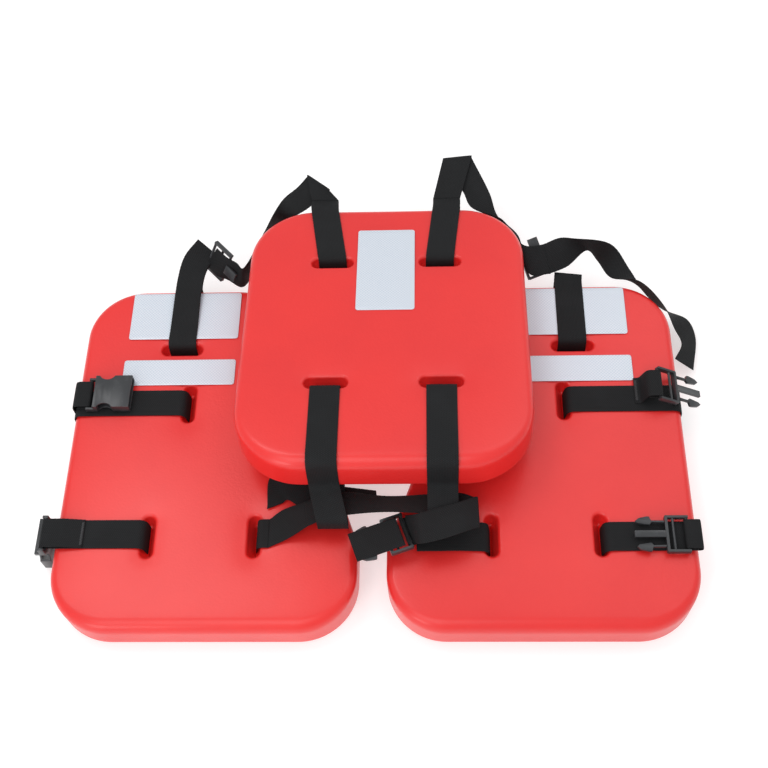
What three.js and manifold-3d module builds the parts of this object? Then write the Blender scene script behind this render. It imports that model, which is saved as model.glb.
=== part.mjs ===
// Three-pad foam life jacket with webbing belts and side-release buckles, laid out flat.
// Units are millimetres, +Z is up and the outer faces of the pads look up.
import * as THREE from 'three';
import Module from 'manifold-3d';

const wasm = await Module();
wasm.setup();
const { Manifold, Mesh: SolidMesh } = wasm;

// Clearances between touching pieces, and the webbing
const GAP = 0.3;
const WEB_WIDTH = 32;
const WEB_THICK = 1;
const PLY = WEB_THICK + GAP;

// Foam pads, all of one thickness; they lie on the strap that runs beneath them
const PAD_THICK = 45;
const PAD_BASE = PLY;
const PAD_TOP = PAD_BASE + PAD_THICK;
const EDGE_ROUND = 6;
const SLOT_LENGTH = 46;
const SLOT_WIDTH = 13;

// Front pads: u runs inward from the closure edge, y runs from the hem to the shoulder
const HALF_SPREAD = 336;
const FRONT_LENGTH = 414;
const HEM_WIDTH = 321;
const SHOULDER_WIDTH = 208;
const KNEE_HEIGHT = 94;
const SHOULDER_SLOT = { u: 113, y: 331 };
const CHEST_SLOT = { u: 128, y: 260 };
const WAIST_Y = 101;
const WAIST_OUTER_U = 99;
const WAIST_INNER_U = 212;

// Back pad: its own frame has y from the near edge to the shoulder edge and z from the under face
const BACK_WIDTH = 312;
const BACK_LENGTH = 355;
const BACK_X = 13;
const BACK_TILT = THREE.MathUtils.degToRad(6.8);
const BACK_CENTRE_Y = 320;
const BACK_CENTRE_TOP = PAD_TOP + 65;
const BACK_SLOT_X = 61;
const BACK_UPPER_SLOT_Y = BACK_LENGTH - 85;
const BACK_LOWER_SLOT_Y = 101;

// Side-release buckles: local x runs from the webbing bar to the mouth, y along the bar
const BAR_RADIUS = 1.75;
const BUCKLE_WIDTH = 40;
const RAIL = 2.6;
const SOCKET = { start: 7, end: 48, floor: -2.5, roof: 9, wall: 2.2, notch: 10, notchX: 20 };
const PLUG = { ladder: 14, wall: 21, ribEnd: 54, floor: -2.3, roof: 3.7, rib: 3.6 };
const WRAP = BAR_RADIUS + GAP + WEB_THICK / 2;

const material = (color, roughness, metalness = 0) =>
  new THREE.MeshStandardMaterial({ color, roughness, metalness });
const finishes = {
  foam: material(0xe8403c, 0.42),
  tape: material(0xdfe3ec, 0.5),
  webbing: material(0x151619, 0.85),
  plastic: material(0x2b2d30, 0.5),
};

const jacket = new THREE.Group();
const backFrame = new THREE.Group();
backFrame.rotation.x = -BACK_TILT;
backFrame.position.set(
  BACK_X,
  BACK_CENTRE_Y - Math.cos(BACK_TILT) * BACK_LENGTH / 2 - Math.sin(BACK_TILT) * PAD_THICK,
  BACK_CENTRE_TOP + Math.sin(BACK_TILT) * BACK_LENGTH / 2 - Math.cos(BACK_TILT) * PAD_THICK,
);
jacket.add(backFrame);
backFrame.updateMatrixWorld(true);

const vec = (x, y, z) => new THREE.Vector3(x, y, z);
const fromBack = (x, y, z) => backFrame.localToWorld(vec(x, y, z));

function add(parent, name, geometry, finish) {
  const mesh = new THREE.Mesh(geometry, finish);
  mesh.name = name;
  parent.add(mesh);
  return mesh;
}

// Boolean helpers: three.js geometry in, three.js geometry out

function toSolid(geometry) {
  const flat = geometry.index ? geometry.toNonIndexed() : geometry;
  const count = flat.attributes.position.count;
  const solid = new SolidMesh({
    numProp: 3,
    vertProperties: Float32Array.from(flat.attributes.position.array),
    triVerts: Uint32Array.from({ length: count }, (_, i) => i),
  });
  solid.merge();
  return new Manifold(solid);
}

function toGeometry(solid) {
  const mesh = solid.getMesh();
  const geometry = new THREE.BufferGeometry();
  geometry.setAttribute('position', new THREE.BufferAttribute(mesh.vertProperties, 3));
  geometry.setIndex(new THREE.BufferAttribute(mesh.triVerts, 1));
  return geometry;
}

const join = (...pieces) => pieces.map(toSolid).reduce((a, b) => a.add(b));
const cut = (body, ...tools) => tools.map(toSolid).reduce((a, b) => a.subtract(b), body);

const block = (x0, x1, y0, y1, z0, z1) =>
  new THREE.BoxGeometry(x1 - x0, y1 - y0, z1 - z0)
    .translate((x0 + x1) / 2, (y0 + y1) / 2, (z0 + z1) / 2);

const rod = (radius, length, x = 0, z = 0, sides = 10) =>
  new THREE.CylinderGeometry(radius, radius, length, sides).translate(x, 0, z);

// Outlines

/** A closed outline through the corners, each rounded to its own radius. */
function roundedOutline(corners) {
  const shape = new THREE.Shape();
  corners.forEach(({ x, y, r }, i) => {
    const corner = new THREE.Vector2(x, y);
    const before = corners.at(i - 1);
    const after = corners[(i + 1) % corners.length];
    const back = new THREE.Vector2(before.x, before.y).sub(corner).normalize();
    const ahead = new THREE.Vector2(after.x, after.y).sub(corner).normalize();
    const half = Math.acos(back.dot(ahead)) / 2;
    const centre = back.clone().add(ahead).normalize()
      .multiplyScalar(r / Math.sin(half)).add(corner);
    const from = back.multiplyScalar(r / Math.tan(half)).add(corner).sub(centre).angle();
    const to = ahead.multiplyScalar(r / Math.tan(half)).add(corner).sub(centre).angle();
    const turn = THREE.MathUtils.euclideanModulo(to - from, 2 * Math.PI);
    shape.absarc(centre.x, centre.y, r, from, to, turn > Math.PI);
  });
  return shape;
}

/** A slot with round ends, centred on a point, its length along x or along y. */
function slotOutline(x, y, alongX) {
  const r = SLOT_WIDTH / 2;
  const reach = SLOT_LENGTH / 2 - r;
  const path = new THREE.Path();
  const start = alongX ? -Math.PI / 2 : 0;
  const dx = alongX ? reach : 0;
  const dy = alongX ? 0 : reach;
  path.absarc(x + dx, y + dy, r, start, start + Math.PI, false);
  path.absarc(x - dx, y - dy, r, start + Math.PI, start + 2 * Math.PI, false);
  return path;
}

/** A foam pad: the outline with its slots, standing from z = 0, every edge and slot lip rounded. */
function foamPad(outline, slots) {
  outline.holes = slots;
  return new THREE.ExtrudeGeometry(outline, {
    depth: PAD_THICK - 2 * EDGE_ROUND,
    bevelThickness: EDGE_ROUND,
    bevelSize: EDGE_ROUND,
    bevelOffset: -EDGE_ROUND,
    bevelSegments: 2,
    curveSegments: 4,
  }).translate(0, 0, EDGE_ROUND);
}

// Webbing: a flat strip bent along stations. A station is a point with either the direction of the
// strip's width, w, or the whole vector from its middle to one edge, half.

/** A strip of webbing along stations, closed at both ends; lanes share its width where it twists. */
function strip(stations, lanes = 1) {
  const steps = stations.length - 1;
  const geometry = new THREE.BoxGeometry(steps, WEB_WIDTH, WEB_THICK, steps, lanes, 1);
  const position = geometry.attributes.position;
  const tangents = stations.map((_, i) => stations[Math.min(i + 1, steps)].p.clone()
    .sub(stations[Math.max(i - 1, 0)].p).normalize());
  for (let i = 0; i < position.count; i += 1) {
    const at = Math.round(position.getX(i) + steps / 2);
    const along = tangents[at];
    const { p, w, half } = stations[at];
    const across = half
      ? half.clone().multiplyScalar(2 / WEB_WIDTH)
      : w.clone().addScaledVector(along, -along.dot(w)).normalize();
    const spot = p.clone()
      .addScaledVector(across, position.getY(i))
      .addScaledVector(along.clone().cross(across).normalize(), position.getZ(i));
    position.setXYZ(i, spot.x, spot.y, spot.z);
  }
  return geometry;
}

/** Stations along straight runs, each inner corner turned with the given radius. */
function bentRoute(points, radius, across, turns = 3) {
  const stations = [{ p: points[0], w: across }];
  for (let i = 1; i < points.length - 1; i += 1) {
    const inward = points[i - 1].clone().sub(points[i]);
    const outward = points[i + 1].clone().sub(points[i]);
    const trim = Math.min(radius, inward.length() / 2.1, outward.length() / 2.1);
    const bend = new THREE.QuadraticBezierCurve3(
      inward.setLength(trim).add(points[i]),
      points[i],
      outward.setLength(trim).add(points[i]),
    );
    bend.getPoints(turns).forEach((p) => stations.push({ p, w: across }));
  }
  stations.push({ p: points.at(-1), w: across });
  return stations;
}

/** Stations along a smooth curve through hand-placed points with their own width directions. */
function freeRoute(knots, steps) {
  const curve = new THREE.CatmullRomCurve3(knots.map((k) => k.p), false, 'centripetal');
  const last = knots.length - 1;
  return Array.from({ length: steps + 1 }, (_, i) => {
    const t = (i / steps) * last;
    const k = Math.min(Math.floor(t), last - 1);
    const w = knots[k].w.clone().lerp(knots[k + 1].w, t - k).normalize();
    return { p: curve.getPoint(i / steps), w };
  });
}

/** Stations along a strap whose two edges pass smoothly through pairs of points. */
function edgeRoute(pairs, steps) {
  const edges = [0, 1].map((k) => new THREE.CatmullRomCurve3(
    pairs.map((pair) => pair[k]), false, 'centripetal'));
  return Array.from({ length: steps + 1 }, (_, i) => {
    const [a, b] = edges.map((edge) => edge.getPoint(i / steps));
    return { p: a.clone().add(b).multiplyScalar(0.5), half: b.sub(a).multiplyScalar(0.5) };
  });
}

const CREASE_RADIUS = 1.6;

/** Stations of a fold: half a turn round a level crease, from above it to beneath it. */
function fold([a, b]) {
  const middle = a.clone().add(b).multiplyScalar(0.5);
  const half = b.clone().sub(a).multiplyScalar(0.5);
  const beyond = vec(0, 0, 1).cross(half).normalize();
  return Array.from({ length: 7 }, (_, i) => {
    const angle = Math.PI * (0.5 - i / 6);
    const p = middle.clone().addScaledVector(beyond, CREASE_RADIUS * Math.cos(angle));
    p.z += CREASE_RADIUS * Math.sin(angle);
    return { p, half };
  });
}

/** The pairs of points at a crease's lower and upper side, where the plies leave it. */
const under = (crease) => crease.map((p) => p.clone().add(vec(0, 0, -CREASE_RADIUS)));
const over = (crease) => crease.map((p) => p.clone().add(vec(0, 0, CREASE_RADIUS)));

/** Stations of a wrap round a bar: over it, down its far side and back beneath for a tail. */
function barWrap(bar, forward, across, tail) {
  const arc = Array.from({ length: 7 }, (_, i) => {
    const angle = Math.PI * (0.5 - i / 6);
    const p = bar.clone().addScaledVector(forward, WRAP * Math.cos(angle));
    p.z += WRAP * Math.sin(angle);
    return { p, w: across };
  });
  const end = bar.clone().addScaledVector(forward, -tail).add(vec(0, 0, -WRAP));
  return [...arc, { p: end, w: across }];
}

// Pads and reflective tapes

const ACROSS_Y = vec(0, 1, 0);
const ACROSS_X = vec(1, 0, 0);
const frontX = (side, u) => side * (HALF_SPREAD - u);

function frontPad(side) {
  const corner = (u, y, r) => ({ x: frontX(side, u), y, r });
  const corners = [
    corner(0, 0, 65), corner(HEM_WIDTH, 0, 62), corner(HEM_WIDTH, KNEE_HEIGHT, 60),
    corner(SHOULDER_WIDTH, FRONT_LENGTH, 48), corner(0, FRONT_LENGTH, 62),
  ];
  const slots = [
    slotOutline(frontX(side, SHOULDER_SLOT.u), SHOULDER_SLOT.y, true),
    slotOutline(frontX(side, CHEST_SLOT.u), CHEST_SLOT.y, false),
    slotOutline(frontX(side, WAIST_OUTER_U), WAIST_Y, false),
    slotOutline(frontX(side, WAIST_INNER_U), WAIST_Y, false),
  ];
  return foamPad(roundedOutline(corners), slots).translate(0, 0, PAD_BASE);
}

const TAPE_THICK = 0.6;
const TAPES = { upper: [50, 177, 344, 407], lower: [49, 177, 283, 316] };

const names = { [-1]: 'left', [1]: 'right' };
for (const side of [-1, 1]) {
  const name = names[side];
  add(jacket, `${name}_front_pad`, frontPad(side), finishes.foam);
  for (const [place, [u0, u1, y0, y1]] of Object.entries(TAPES)) {
    const xs = [frontX(side, u0), frontX(side, u1)].sort((a, b) => a - b);
    const tape = block(...xs, y0, y1, PAD_TOP + GAP, PAD_TOP + GAP + TAPE_THICK);
    add(jacket, `${name}_${place}_tape`, tape, finishes.tape);
  }
}

const BACK_CORNER = 72;
const backCorners = [[-1, 0], [1, 0], [1, 1], [-1, 1]].map(([x, y]) => (
  { x: x * BACK_WIDTH / 2, y: y * BACK_LENGTH, r: BACK_CORNER }));
const backSlots = [BACK_UPPER_SLOT_Y, BACK_LOWER_SLOT_Y].flatMap((y) => (
  [-1, 1].map((side) => slotOutline(side * BACK_SLOT_X, y, true))));
add(backFrame, 'back_pad', foamPad(roundedOutline(backCorners), backSlots), finishes.foam);
const BACK_TAPE = { width: 65, near: 197, far: 317 };
add(backFrame, 'back_tape', block(
  -BACK_TAPE.width / 2, BACK_TAPE.width / 2, BACK_TAPE.near, BACK_TAPE.far,
  PAD_THICK + GAP, PAD_THICK + GAP + TAPE_THICK,
), finishes.tape);

// Webbing that is threaded through the pads

const OVER = GAP + WEB_THICK / 2;
const IN_SLOT = 2.8;
const SEAM = 2;
const TWIST_LANES = 6;
const TURN = 6.5;
const tapeClear = PAD_TOP + GAP + TAPE_THICK + OVER;

/** A band round the pad's outer strip: through the chest slot, over, round the edge and under. */
function chestBand(side) {
  const slotX = frontX(side, CHEST_SLOT.u) + side * (SLOT_WIDTH / 2 - IN_SLOT);
  const edgeX = frontX(side, -OVER);
  const seamX = (slotX + edgeX) / 2;
  const y = CHEST_SLOT.y;
  return strip(bentRoute([
    vec(seamX + side * GAP, y, PAD_BASE - OVER), vec(edgeX, y, PAD_BASE - OVER),
    vec(edgeX, y, PAD_TOP + OVER), vec(slotX, y, PAD_TOP + OVER),
    vec(slotX, y, PAD_BASE - OVER), vec(seamX - side * GAP, y, PAD_BASE - OVER),
  ], TURN, ACROSS_Y));
}

/** A band round the pad's shoulder strip, whose two plies rise together to the adjuster. */
function shoulderBand(side, meet) {
  const x = frontX(side, SHOULDER_SLOT.u);
  const slotY = SHOULDER_SLOT.y + SLOT_WIDTH / 2 - IN_SLOT;
  const edgeY = FRONT_LENGTH + OVER;
  return strip(bentRoute([
    vec(meet.x, meet.y, meet.z - PLY), vec(x, edgeY, PAD_TOP - 12), vec(x, edgeY, PAD_BASE - OVER),
    vec(x, slotY, PAD_BASE - OVER), vec(x, slotY, tapeClear),
    vec(x, FRONT_LENGTH + 4, tapeClear), vec(meet.x, meet.y + PLY, meet.z + PLY),
  ], TURN, ACROSS_X));
}

for (const side of [-1, 1]) {
  add(jacket, `${names[side]}_chest_band`, chestBand(side), finishes.webbing);
}

// Chest tails: each starts on the band and ends in a wrap round its buckle's bar
const OUTWARD_LEFT = vec(-1, 0, 0);
const OUTWARD_RIGHT = vec(1, 0, 0);
const PLIES_UP = PAD_TOP + OVER + PLY;
const chestSocketBar = vec(frontX(-1, 16), CHEST_SLOT.y + 9, PLIES_UP + WRAP);
const chestPlugBar = vec(frontX(1, 25), CHEST_SLOT.y + 9, PAD_TOP + 17);
add(jacket, 'left_chest_tail', strip([
  ...bentRoute([
    vec(frontX(-1, -OVER - PLY), chestSocketBar.y, PAD_TOP - 22),
    vec(frontX(-1, -OVER - PLY), chestSocketBar.y, chestSocketBar.z + WRAP),
    chestSocketBar.clone().add(vec(-2, 0, WRAP)),
  ], 5, ACROSS_Y),
  ...barWrap(chestSocketBar, OUTWARD_RIGHT, ACROSS_Y, 13),
]), finishes.webbing);
add(jacket, 'right_chest_tail', strip([
  ...bentRoute([
    vec(frontX(1, 112), chestPlugBar.y, PLIES_UP),
    vec(frontX(1, 70), chestPlugBar.y, PLIES_UP),
    chestPlugBar.clone().add(vec(-12, 0, WRAP)),
    chestPlugBar.clone().add(vec(-2, 0, WRAP)),
  ], 20, ACROSS_Y),
  ...barWrap(chestPlugBar, OUTWARD_RIGHT, ACROSS_Y, 12),
]), finishes.webbing);

/** The belt under a front pad: down through the outer slot and up through the inner one. */
function beltUnder(side, y, outerEnd, innerEnd) {
  const outerX = frontX(side, WAIST_OUTER_U) + side * (SLOT_WIDTH / 2 - IN_SLOT);
  const innerX = frontX(side, WAIST_INNER_U) - side * (SLOT_WIDTH / 2 - IN_SLOT);
  const [first, ...rest] = bentRoute([
    outerEnd.at(-1).p, vec(outerX, y, PAD_TOP + OVER), vec(outerX, y, PAD_BASE - OVER),
    vec(innerX, y, PAD_BASE - OVER), vec(innerX, y, PAD_TOP + OVER), ...innerEnd,
  ], TURN, ACROSS_Y);
  return strip([...outerEnd.slice(0, -1), first, ...rest]);
}

const leftWaistY = WAIST_Y + 2;
const waistSocketBar = vec(frontX(-1, -10.5), leftWaistY, PAD_TOP + OVER + WRAP);
add(jacket, 'left_waist_belt', beltUnder(-1, leftWaistY, [
  { p: vec(frontX(-1, 32), leftWaistY, PAD_TOP + OVER + PLY), w: ACROSS_Y },
  { p: vec(frontX(-1, 10), leftWaistY, PAD_TOP + OVER + 2 * WRAP), w: ACROSS_Y },
  ...barWrap(waistSocketBar, OUTWARD_LEFT, ACROSS_Y, 24),
], [vec(frontX(-1, WAIST_INNER_U + 14), leftWaistY, PAD_TOP + OVER)]), finishes.webbing);

const rightWaistY = WAIST_Y - 3;
const waistPlugBar = vec(frontX(1, 12), rightWaistY, PLIES_UP + WRAP);
const foldX = frontX(1, -2.5);
add(jacket, 'right_waist_belt', beltUnder(1, rightWaistY, [
  ...barWrap(waistPlugBar, OUTWARD_LEFT, ACROSS_Y, 10).reverse(),
  ...bentRoute([
    waistPlugBar.clone().add(vec(2, 0, WRAP)),
    vec(foldX, rightWaistY, waistPlugBar.z + WRAP),
    vec(foldX, rightWaistY, PAD_TOP + OVER),
    vec(foldX - 8, rightWaistY, PAD_TOP + OVER),
  ], 2.5, ACROSS_Y),
], [
  vec(frontX(1, WAIST_INNER_U + 34), rightWaistY, PAD_TOP + OVER + 2),
  vec(frontX(1, WAIST_INNER_U + 78), rightWaistY - 2, PAD_TOP + 7),
]), finishes.webbing);

// Belt between the pads: from the left inner slot, through the back pad's loops, folded back
const beltStart = vec(frontX(-1, WAIST_INNER_U + 14 + SEAM), leftWaistY, PAD_TOP + OVER);
const beltPlugBar = vec(36, 98, PAD_TOP + 17);
const beltPlugTurn = THREE.MathUtils.degToRad(199.8);
const plugAcross = vec(-Math.sin(beltPlugTurn), Math.cos(beltPlugTurn), 0);
const plugForward = vec(Math.cos(beltPlugTurn), Math.sin(beltPlugTurn), 0);
const loopX = { left: BACK_X - BACK_SLOT_X, right: BACK_X + BACK_SLOT_X };
const BELT_Y = 124;
const BELT_Z = PAD_TOP + 26;
const beltMeet = vec(loopX.left - 20, BELT_Y - 8, BELT_Z - 5);
const beltAcross = vec(-0.15, 0.94, -0.24);
add(jacket, 'left_belt_bridge', strip(freeRoute([
  { p: beltStart, w: ACROSS_Y },
  { p: beltStart.clone().add(vec(12, 1, 3)), w: ACROSS_Y },
  { p: beltMeet.clone().add(vec(-12 - SEAM, -3, -4)), w: beltAcross },
  { p: beltMeet.clone().add(vec(-SEAM, 0, 0)), w: beltAcross },
], 14), TWIST_LANES), finishes.webbing);

// The belt lies through both back loops, folds over beyond them and comes back above itself to
// the plug: pairs of points are its far and near edges
const beltCrease = [vec(107.8, 128, 81), vec(108.9, 93.9, 81)];
const edgesAt = (middle, across) => [1, -1].map((edge) => middle.clone()
  .addScaledVector(across.clone().normalize(), edge * WEB_WIDTH / 2));
const behindPlug = beltPlugBar.clone().addScaledVector(plugForward, -4).add(vec(0, 0, WRAP));
add(jacket, 'belt_middle', strip([
  ...edgeRoute([
    edgesAt(beltMeet, beltAcross),
    edgesAt(vec(loopX.left, BELT_Y - 2, BELT_Z), beltAcross),
    [vec(-28.3, 141.6, 65.2), vec(-21.5, 112.2, 74)],
    [vec(16.7, 139.2, 59.8), vec(19.8, 113.1, 78.2)],
    [vec(loopX.right, BELT_Y + 15, 66), vec(loopX.right, BELT_Y - 15, 78)],
    [vec(92.8, 137, 71.1), vec(94.2, 105.3, 74.9)],
    under(beltCrease),
  ], 36),
  ...fold(beltCrease).reverse().slice(1),
  ...edgeRoute([
    over(beltCrease),
    [vec(93.3, 120.5, 88), vec(94.6, 86.8, 88)],
    [vec(63.8, 112.8, 86), vec(73.5, 80.2, 86)],
    [vec(48.2, 109.2, 83), vec(52.2, 76.5, 83)],
    edgesAt(behindPlug, plugAcross.clone().negate()),
  ], 28).slice(1),
  ...barWrap(beltPlugBar, plugForward, plugAcross, 14),
], TWIST_LANES), finishes.webbing);

const BAND_LEAN = { [-1]: -13, [1]: 9 };

// Loops on the back pad's near strip, with the belt inside them
function backLoop(side, reach, skew) {
  const x = side * BACK_SLOT_X;
  const slotY = BACK_LOWER_SLOT_Y - SLOT_WIDTH / 2 + IN_SLOT;
  const seamY = slotY / 2;
  const drop = -29;
  return strip(bentRoute([
    vec(x, seamY + GAP, -OVER), vec(x, slotY, -OVER), vec(x, slotY, PAD_THICK + OVER),
    vec(x, -OVER, PAD_THICK + OVER), vec(x, -OVER, 2), vec(x + skew, -reach, drop + 18),
    vec(x + skew, -reach, drop), vec(x + skew / 2, 2, drop + 2), vec(x, seamY - GAP, -OVER - 1),
  ], TURN, ACROSS_X), TWIST_LANES);
}
add(backFrame, 'left_back_loop', backLoop(-1, 36, 9), finishes.webbing);
add(backFrame, 'right_back_loop', backLoop(1, 32, 0), finishes.webbing);

/** A band round the back pad's shoulder strip, leaning to one side; its plies meet beyond the edge. */
function backBand(side, reach) {
  const x = side * BACK_SLOT_X;
  const leanX = x + BAND_LEAN[side];
  const slotY = BACK_UPPER_SLOT_Y + SLOT_WIDTH / 2 - IN_SLOT;
  const edgeY = BACK_LENGTH + OVER;
  return strip(bentRoute([
    vec(leanX, edgeY + reach, PAD_THICK - 4), vec(leanX, edgeY, PAD_THICK - 14),
    vec(leanX, edgeY, -OVER), vec(x, slotY, -OVER), vec(x, slotY, PAD_THICK + OVER),
    vec(leanX, edgeY + 2, PAD_THICK + OVER), vec(leanX, edgeY + reach, PAD_THICK - 4 + PLY),
  ], TURN, ACROSS_X), TWIST_LANES);
}
const BAND_REACH = 14;
for (const side of [-1, 1]) {
  add(backFrame, `${names[side]}_back_band`, backBand(side, BAND_REACH), finishes.webbing);
}
/** The pair of points at which a shoulder strap takes over from its back band. */
const bandEnd = (side) => [-1, 1].map((edge) => fromBack(
  side * BACK_SLOT_X + BAND_LEAN[side] + edge * WEB_WIDTH / 2,
  BACK_LENGTH + OVER + BAND_REACH + 2 * SEAM,
  PAD_THICK - 3,
));

/** Stations of a shoulder strap: up from its band, over a crease and down beneath itself. */
const shoulderStrap = (side, crease, pairs, steps) => [
  ...edgeRoute([bandEnd(side), over(crease)], 2).slice(0, 2),
  ...fold(crease),
  ...edgeRoute([under(crease), ...pairs], steps).slice(1),
];

// Shoulder straps, free of the pads between the back bands and the adjusters
const leftMeet = vec(-226, 458, PAD_TOP + 10);
const rightMeet = vec(frontX(1, 112), 425, PAD_TOP + 1.5);
add(jacket, 'left_shoulder_band', shoulderBand(-1, leftMeet), finishes.webbing);
add(jacket, 'right_shoulder_band', shoulderBand(1, rightMeet), finishes.webbing);

// Each adjuster's run is the way that its lift tab points
const leftAdjuster = { p: vec(-186, 441.5, 63), run: vec(0.7, -0.69, -0.13), w: vec(0.52, 0.15, 0.84) };
const rightAdjuster = {
  p: vec(191.5, 436.5, 57.5), run: vec(-0.35, 0.78, 0.52), w: vec(-0.93, -0.35, -0.1),
};
const leftCrease = [vec(-84.4, 547.4, 88), vec(-56.9, 524.3, 88)];
const rightCrease = [vec(79.3, 570.1, 86), vec(114.2, 573.9, 86)];
add(jacket, 'left_shoulder_strap', strip(shoulderStrap(-1, leftCrease, [
  [vec(-96, 538, 79), vec(-83.5, 504, 79)],
  [vec(-111.5, 523.1, 77.2), vec(-94.8, 495.8, 78.8)],
  [vec(-121.4, 490.7, 88), vec(-114.2, 498.9, 58)],
  [vec(-130.5, 471.7, 82.4), vec(-127.3, 488.9, 55.6)],
  [vec(-140.5, 451, 78), vec(-138, 464, 50)],
  [vec(-150, 428.5, 76), vec(-150.5, 428, 45)],
  [vec(-155.5, 422, 75), vec(-160, 417, 44)],
  [vec(-162.4, 430.2, 74.6), vec(-177, 425.4, 47.4)],
], 64), TWIST_LANES), finishes.webbing);
add(jacket, 'right_shoulder_strap', strip(shoulderStrap(1, rightCrease, [
  [vec(102.8, 524.7, 80.5), vec(134.8, 521.7, 79.5)],
  [vec(112, 503, 78.8), vec(143, 494, 73.2)],
  [vec(145.7, 483.3, 82), vec(166.3, 462.7, 74)],
  [vec(172, 447, 78), vec(178, 418.5, 60)],
  [vec(192, 450.5, 73), vec(200, 422.5, 53.5)],
], 44), TWIST_LANES), finishes.webbing);
add(jacket, 'right_strap_tail', strip(edgeRoute([
  [vec(195.8, 451.8, 73.3), vec(203.8, 423.8, 53.7)],
  [vec(214, 459, 75), vec(222.5, 432.5, 54)],
  [vec(231.8, 458.9, 73.2), vec(249.8, 460.6, 46.8)],
  [vec(273.8, 455, 66.2), vec(261, 452, 37.8)],
  [vec(297.7, 435.8, 40.9), vec(274, 419, 49)],
  [vec(317, 411, 24), vec(304, 413.5, 51)],
  [vec(336.2, 397.3, 14), vec(331.5, 384.5, 42)],
  [vec(362.7, 382.5, 14.6), vec(343.5, 363, 27)],
  [vec(370.7, 362, 10), vec(350, 343, 25.2)],
  [vec(366, 331, 6), vec(342, 334, 26)],
], 64), TWIST_LANES), finishes.webbing);

// Buckles

/** Ladder-lock adjuster: two rails, three bars and a lift tab, centred, strap along x. */
function adjuster() {
  const rails = [-1, 1].map((s) => block(
    -14, 14, s * 19 - RAIL / 2, s * 19 + RAIL / 2, -2.5, 2.5));
  const bars = [-13, 0, 13].map((x) => rod(BAR_RADIUS, 38, x));
  return toGeometry(join(...rails, ...bars, block(13, 30, -6, 6, 1.3, 3.5)));
}

/** The socket half: webbing bar on two rails, and a hollow body with a mouth and finger notches. */
function socket() {
  const half = BUCKLE_WIDTH / 2;
  const { start, end, floor, roof, wall, notch, notchX } = SOCKET;
  const arms = [-1, 1].map((s) => block(
    -BAR_RADIUS, start + 1, Math.min(s * half, s * (half - RAIL)),
    Math.max(s * half, s * (half - RAIL)), floor, floor + 6));
  const shell = join(block(start, end, -half, half, floor, roof), ...arms,
    rod(BAR_RADIUS, BUCKLE_WIDTH - RAIL));
  const cavity = block(start + wall, end + 1, -half + wall, half - wall, floor + wall, roof - wall);
  const notches = [-1, 1].map((s) => new THREE.CylinderGeometry(notch, notch, 30, 20)
    .rotateX(Math.PI / 2).translate(notchX, s * (half + notch - 5), 0));
  return toGeometry(cut(shell, cavity, ...notches));
}

/** The plug half without its latch arms: frame, webbing bar, ladder bar, cross wall, centre rib. */
function plugFrame() {
  const half = BUCKLE_WIDTH / 2;
  const { ladder, wall, ribEnd, floor, roof, rib } = PLUG;
  const rails = [-1, 1].map((s) => block(
    -BAR_RADIUS, wall + 1, Math.min(s * half, s * (half - RAIL)),
    Math.max(s * half, s * (half - RAIL)), floor, roof));
  return toGeometry(join(
    ...rails,
    rod(BAR_RADIUS, BUCKLE_WIDTH - RAIL),
    rod(1.5, BUCKLE_WIDTH - RAIL, ladder, 1),
    block(wall - 1.5, wall + 1.5, -half + 1, half - 1, floor, roof),
    block(wall, ribEnd, -rib, rib, 0, 3.4),
  ));
}

/** One latch arm: a thin spring leaf with an arrow-shaped catch at its tip. */
function latchArm(side) {
  const root = PLUG.wall + 1.5 + GAP;
  const outline = new THREE.Shape([
    [root, 12.2], [root + 13, 12.6], [root + 15, 9.8], [root + 27, 11.5], [root + 30, 14],
    [root + 26, 17.2], [root + 18, 19], [root + 15, 19], [root + 13.5, 14.6], [root, 14.6],
  ].map(([x, y]) => new THREE.Vector2(x, side * y)));
  return new THREE.ExtrudeGeometry(outline, { depth: 3.6, bevelEnabled: false });
}

function placed(position, turnZ, turnY = 0) {
  const holder = new THREE.Group();
  holder.position.copy(position);
  holder.rotation.set(0, turnY, turnZ, 'ZYX');
  jacket.add(holder);
  return holder;
}

function addPlug(name, holder) {
  add(holder, `${name}_plug`, plugFrame(), finishes.plastic);
  add(holder, `${name}_latch_a`, latchArm(1), finishes.plastic);
  add(holder, `${name}_latch_b`, latchArm(-1), finishes.plastic);
}

const DROOP = THREE.MathUtils.degToRad(30);
add(placed(chestSocketBar, 0), 'chest_socket', socket(), finishes.plastic);
add(placed(waistSocketBar, Math.PI, Math.PI / 2), 'waist_socket', socket(), finishes.plastic);
addPlug('chest', placed(chestPlugBar, 0, DROOP));
addPlug('waist', placed(waistPlugBar, Math.PI));
const beltPlug = placed(beltPlugBar, beltPlugTurn);
addPlug('belt', beltPlug);
add(beltPlug, 'belt_plug_flap', strip(bentRoute([
  vec(6, 0, PLUG.roof + 1.2), vec(30, 0, PLUG.roof + 1.8), vec(58, 0, PLUG.roof + 0.8),
], 6, ACROSS_Y, 2)), finishes.webbing);

/** A holder whose x runs along the strap and whose y runs along its width. */
function alongStrap({ p, run, w }) {
  const holder = new THREE.Group();
  const x = run.clone().normalize();
  const y = w.clone().addScaledVector(x, -w.dot(x)).normalize();
  holder.quaternion.setFromRotationMatrix(
    new THREE.Matrix4().makeBasis(x, y, x.clone().cross(y)));
  holder.position.copy(p);
  jacket.add(holder);
  return holder;
}
add(alongStrap(leftAdjuster), 'left_adjuster', adjuster(), finishes.plastic);
add(alongStrap(rightAdjuster), 'right_adjuster', adjuster(), finishes.plastic);

// The origin is the bottom centre of the whole
const bounds = new THREE.Box3().setFromObject(jacket);
const middle = bounds.getCenter(vec(0, 0, 0));
jacket.position.set(-middle.x, -middle.y, -bounds.min.z);

export default jacket;
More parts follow.
